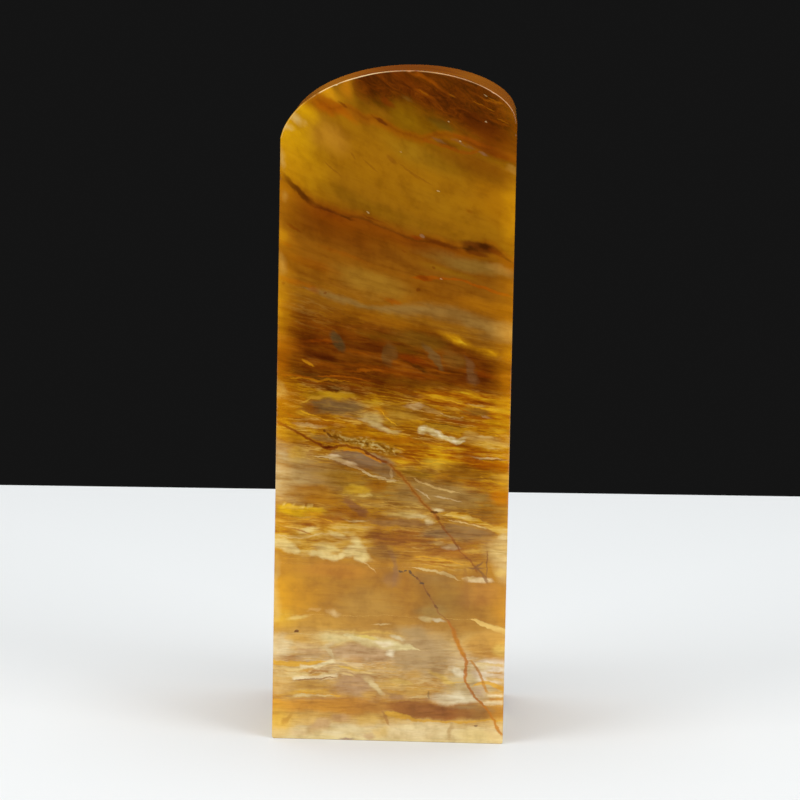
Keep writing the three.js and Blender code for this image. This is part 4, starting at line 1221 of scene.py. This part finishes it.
def tint(paint):
    """Streaks and fibres, darker ones redder, faint in the clear layers, and a painted glow at the upright
    corners.
    """
    strength = paint.by_level([(0, 0.15), (2.4, 0.2), (3, 0.6), (10, 0.6), (12.5, 0.2), (19, 0.2),
                               (20.5, 0.8), (42, 0.8), (46, 0.5), (56, 0.25), (62, 0.12), (74, 0.2)])
    streaked = paint.ramp(paint.streaks, [(0.3, "#c9b08c"), (0.5, "#f4f4f4"), (0.7, "#ffffff")])
    paint.lay(strength, streaked, "MULTIPLY")
    fibrous = paint.ramp(paint.fibres, [(0.3, "#c8b490"), (0.5, "#f8f8f8"), (0.7, "#ffffff")])
    paint.lay(strength, fibrous, "MULTIPLY")
    clouded = paint.ramp(paint.noise(paint.join(paint.u, paint.v, paint.depth), 0.45, 3, 0.6), [
        (0.35, "#d6c8b0"), (0.5, "#f4f0ea"), (0.62, "#ffffff")])
    paint.lay(0.6, clouded, "MULTIPLY")
    # Painted light: the stone gets lighter near its upright corners, as if light glowed through it from the
    # sides.
    side, face = paint.math("ABSOLUTE", paint.x), paint.math("ABSOLUTE", paint.y)
    corner = paint.times(paint.times(paint.smooth(side, 9.6, 13), paint.smooth(face, 8, 12.5)),
                         paint.by_level([(0, 1), (50, 1), (56, 0.6), (64, 0.35), (74, 0.5)]))
    glow = paint.times(corner, paint.math("MULTIPLY_ADD", paint.waves, 2, -0.2))
    paint.lay(glow, EDGE_LIGHT, "SCREEN")


def stone_material():
    """Polished amber soapstone."""
    material = bpy.data.materials.new("amber_stone")
    material.use_nodes = True
    shader = material.node_tree.nodes["Principled BSDF"]
    paint = Paint(material.node_tree, oval_stamp())
    paint_ground(paint)
    gold = paint.ramp(paint.fibres, [(0.32, "burnt_orange"), (0.45, "orange"), (0.52, "amber"),
                                     (0.6, "gold"), (0.7, "yellow")])
    cream = paint.ramp(paint.fibres, [(0.32, "amber"), (0.42, "gold"), (0.5, "#d2a53c"),
                                      (0.6, "#d4b05c"), (0.72, "cream")])
    threads = make_threads(paint)
    paint_inner_clouds(paint)
    lay_threads(paint, threads, 0.9)
    paint_shoulders(paint)
    paint_crown(paint)
    paint_milky_bands(paint)
    paint_dark_vein(paint)
    paint_red_zone(paint)
    paint_upper_fibres(paint, gold, cream)
    paint_pale_belt(paint, gold, cream)
    paint_gold_belt(paint, gold, cream)
    paint_amber_zone(paint)
    paint_cream_tangle(paint)
    paint_foot(paint)
    lay_threads(paint, threads, 0.22)
    paint_strands(paint)
    paint_cracks(paint)
    paint_flecks(paint)
    tint(paint)
    normal = paint.add("ShaderNodeTexCoord", {}, "Normal")
    crown = paint_rims(paint, normal)
    cut = paint_cuts(paint)
    paint.lay(1, PAINT_GAIN, "MULTIPLY")
    polish = paint.math("MULTIPLY_ADD", paint.waves, ROUGH_WAVES, ROUGH_LEAST)
    ground = paint.math("MULTIPLY_ADD", crown, ROUGH_CROWN, polish)
    roughness = paint.math("MULTIPLY_ADD", cut, ROUGH_CUTS, ground)
    ripple = paint.noise(paint.join(paint.x, paint.y, paint.z), 0.7, 3, 0.6)
    strength = paint.math("MULTIPLY_ADD", crown, -RIPPLE_STRENGTH, RIPPLE_STRENGTH)
    bump = paint.add("ShaderNodeBump", {"Strength": strength, "Distance": RIPPLE_DEPTH, "Height": ripple})
    links = material.node_tree.links
    links.new(paint.colour, shader.inputs["Base Color"])
    links.new(roughness, shader.inputs["Roughness"])
    links.new(bump, shader.inputs["Normal"])
    shader.inputs["Specular IOR Level"].default_value = STONE_SPECULAR
    return material


def make_floor():
    """The pale table, whose far edge is cut to lie where the photograph's horizon does."""
    mesh = bpy.data.meshes.new("floor")
    mesh.from_pydata(FLOOR_CORNERS, [], [(0, 1, 2, 3)])
    floor = add_object("floor", mesh)
    floor.data.materials.append(floor_material())


def make_lamps():
    """Three square lamps that point at the stone."""
    for name, place, size in LAMPS:
        data = bpy.data.lights.new(name, "AREA")
        data.shape = "SQUARE"
        data.size = size
        data.energy = LAMP_WATTS
        lamp = add_object(name, data)
        lamp.location = place
        aim = Vector(LAMP_TARGET) - Vector(place)
        lamp.rotation_mode = "QUATERNION"
        lamp.rotation_quaternion = aim.to_track_quat("-Z", "Y")


def make_world():
    """Pale light from all round, behind a dark backdrop."""
    world = bpy.data.worlds.new("studio")
    bpy.context.scene.world = world
    world.use_nodes = True
    tree = world.node_tree
    tree.nodes.clear()
    rays = tree.nodes.new("ShaderNodeLightPath").outputs
    seen = rays["Is Camera Ray"]
    for kind in ("Is Glossy Ray", "Is Transmission Ray"):
        seen = add_node(tree, "ShaderNodeMath", {0: seen, 1: rays[kind]}, operation="MAXIMUM")
    light = add_node(tree, "ShaderNodeBackground", {"Color": WORLD_COLOUR, "Strength": WORLD_STRENGTH})
    backdrop = add_node(tree, "ShaderNodeBackground", {"Color": BACKDROP_COLOUR})
    mix = add_node(tree, "ShaderNodeMixShader", {"Fac": seen, 1: light, 2: backdrop})
    tree.links.new(mix, tree.nodes.new("ShaderNodeOutputWorld").inputs["Surface"])


make_camera()
cad_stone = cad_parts["seal_stone"]
stone = make_stone(cad_stone)
stone.data.materials.append(stone_material())
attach(stone, "root")
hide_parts("seal_stone")
make_floor()
make_lamps()
make_world()
bpy.context.scene.view_settings.view_transform = "Standard"

bpy.context.view_layer.update()
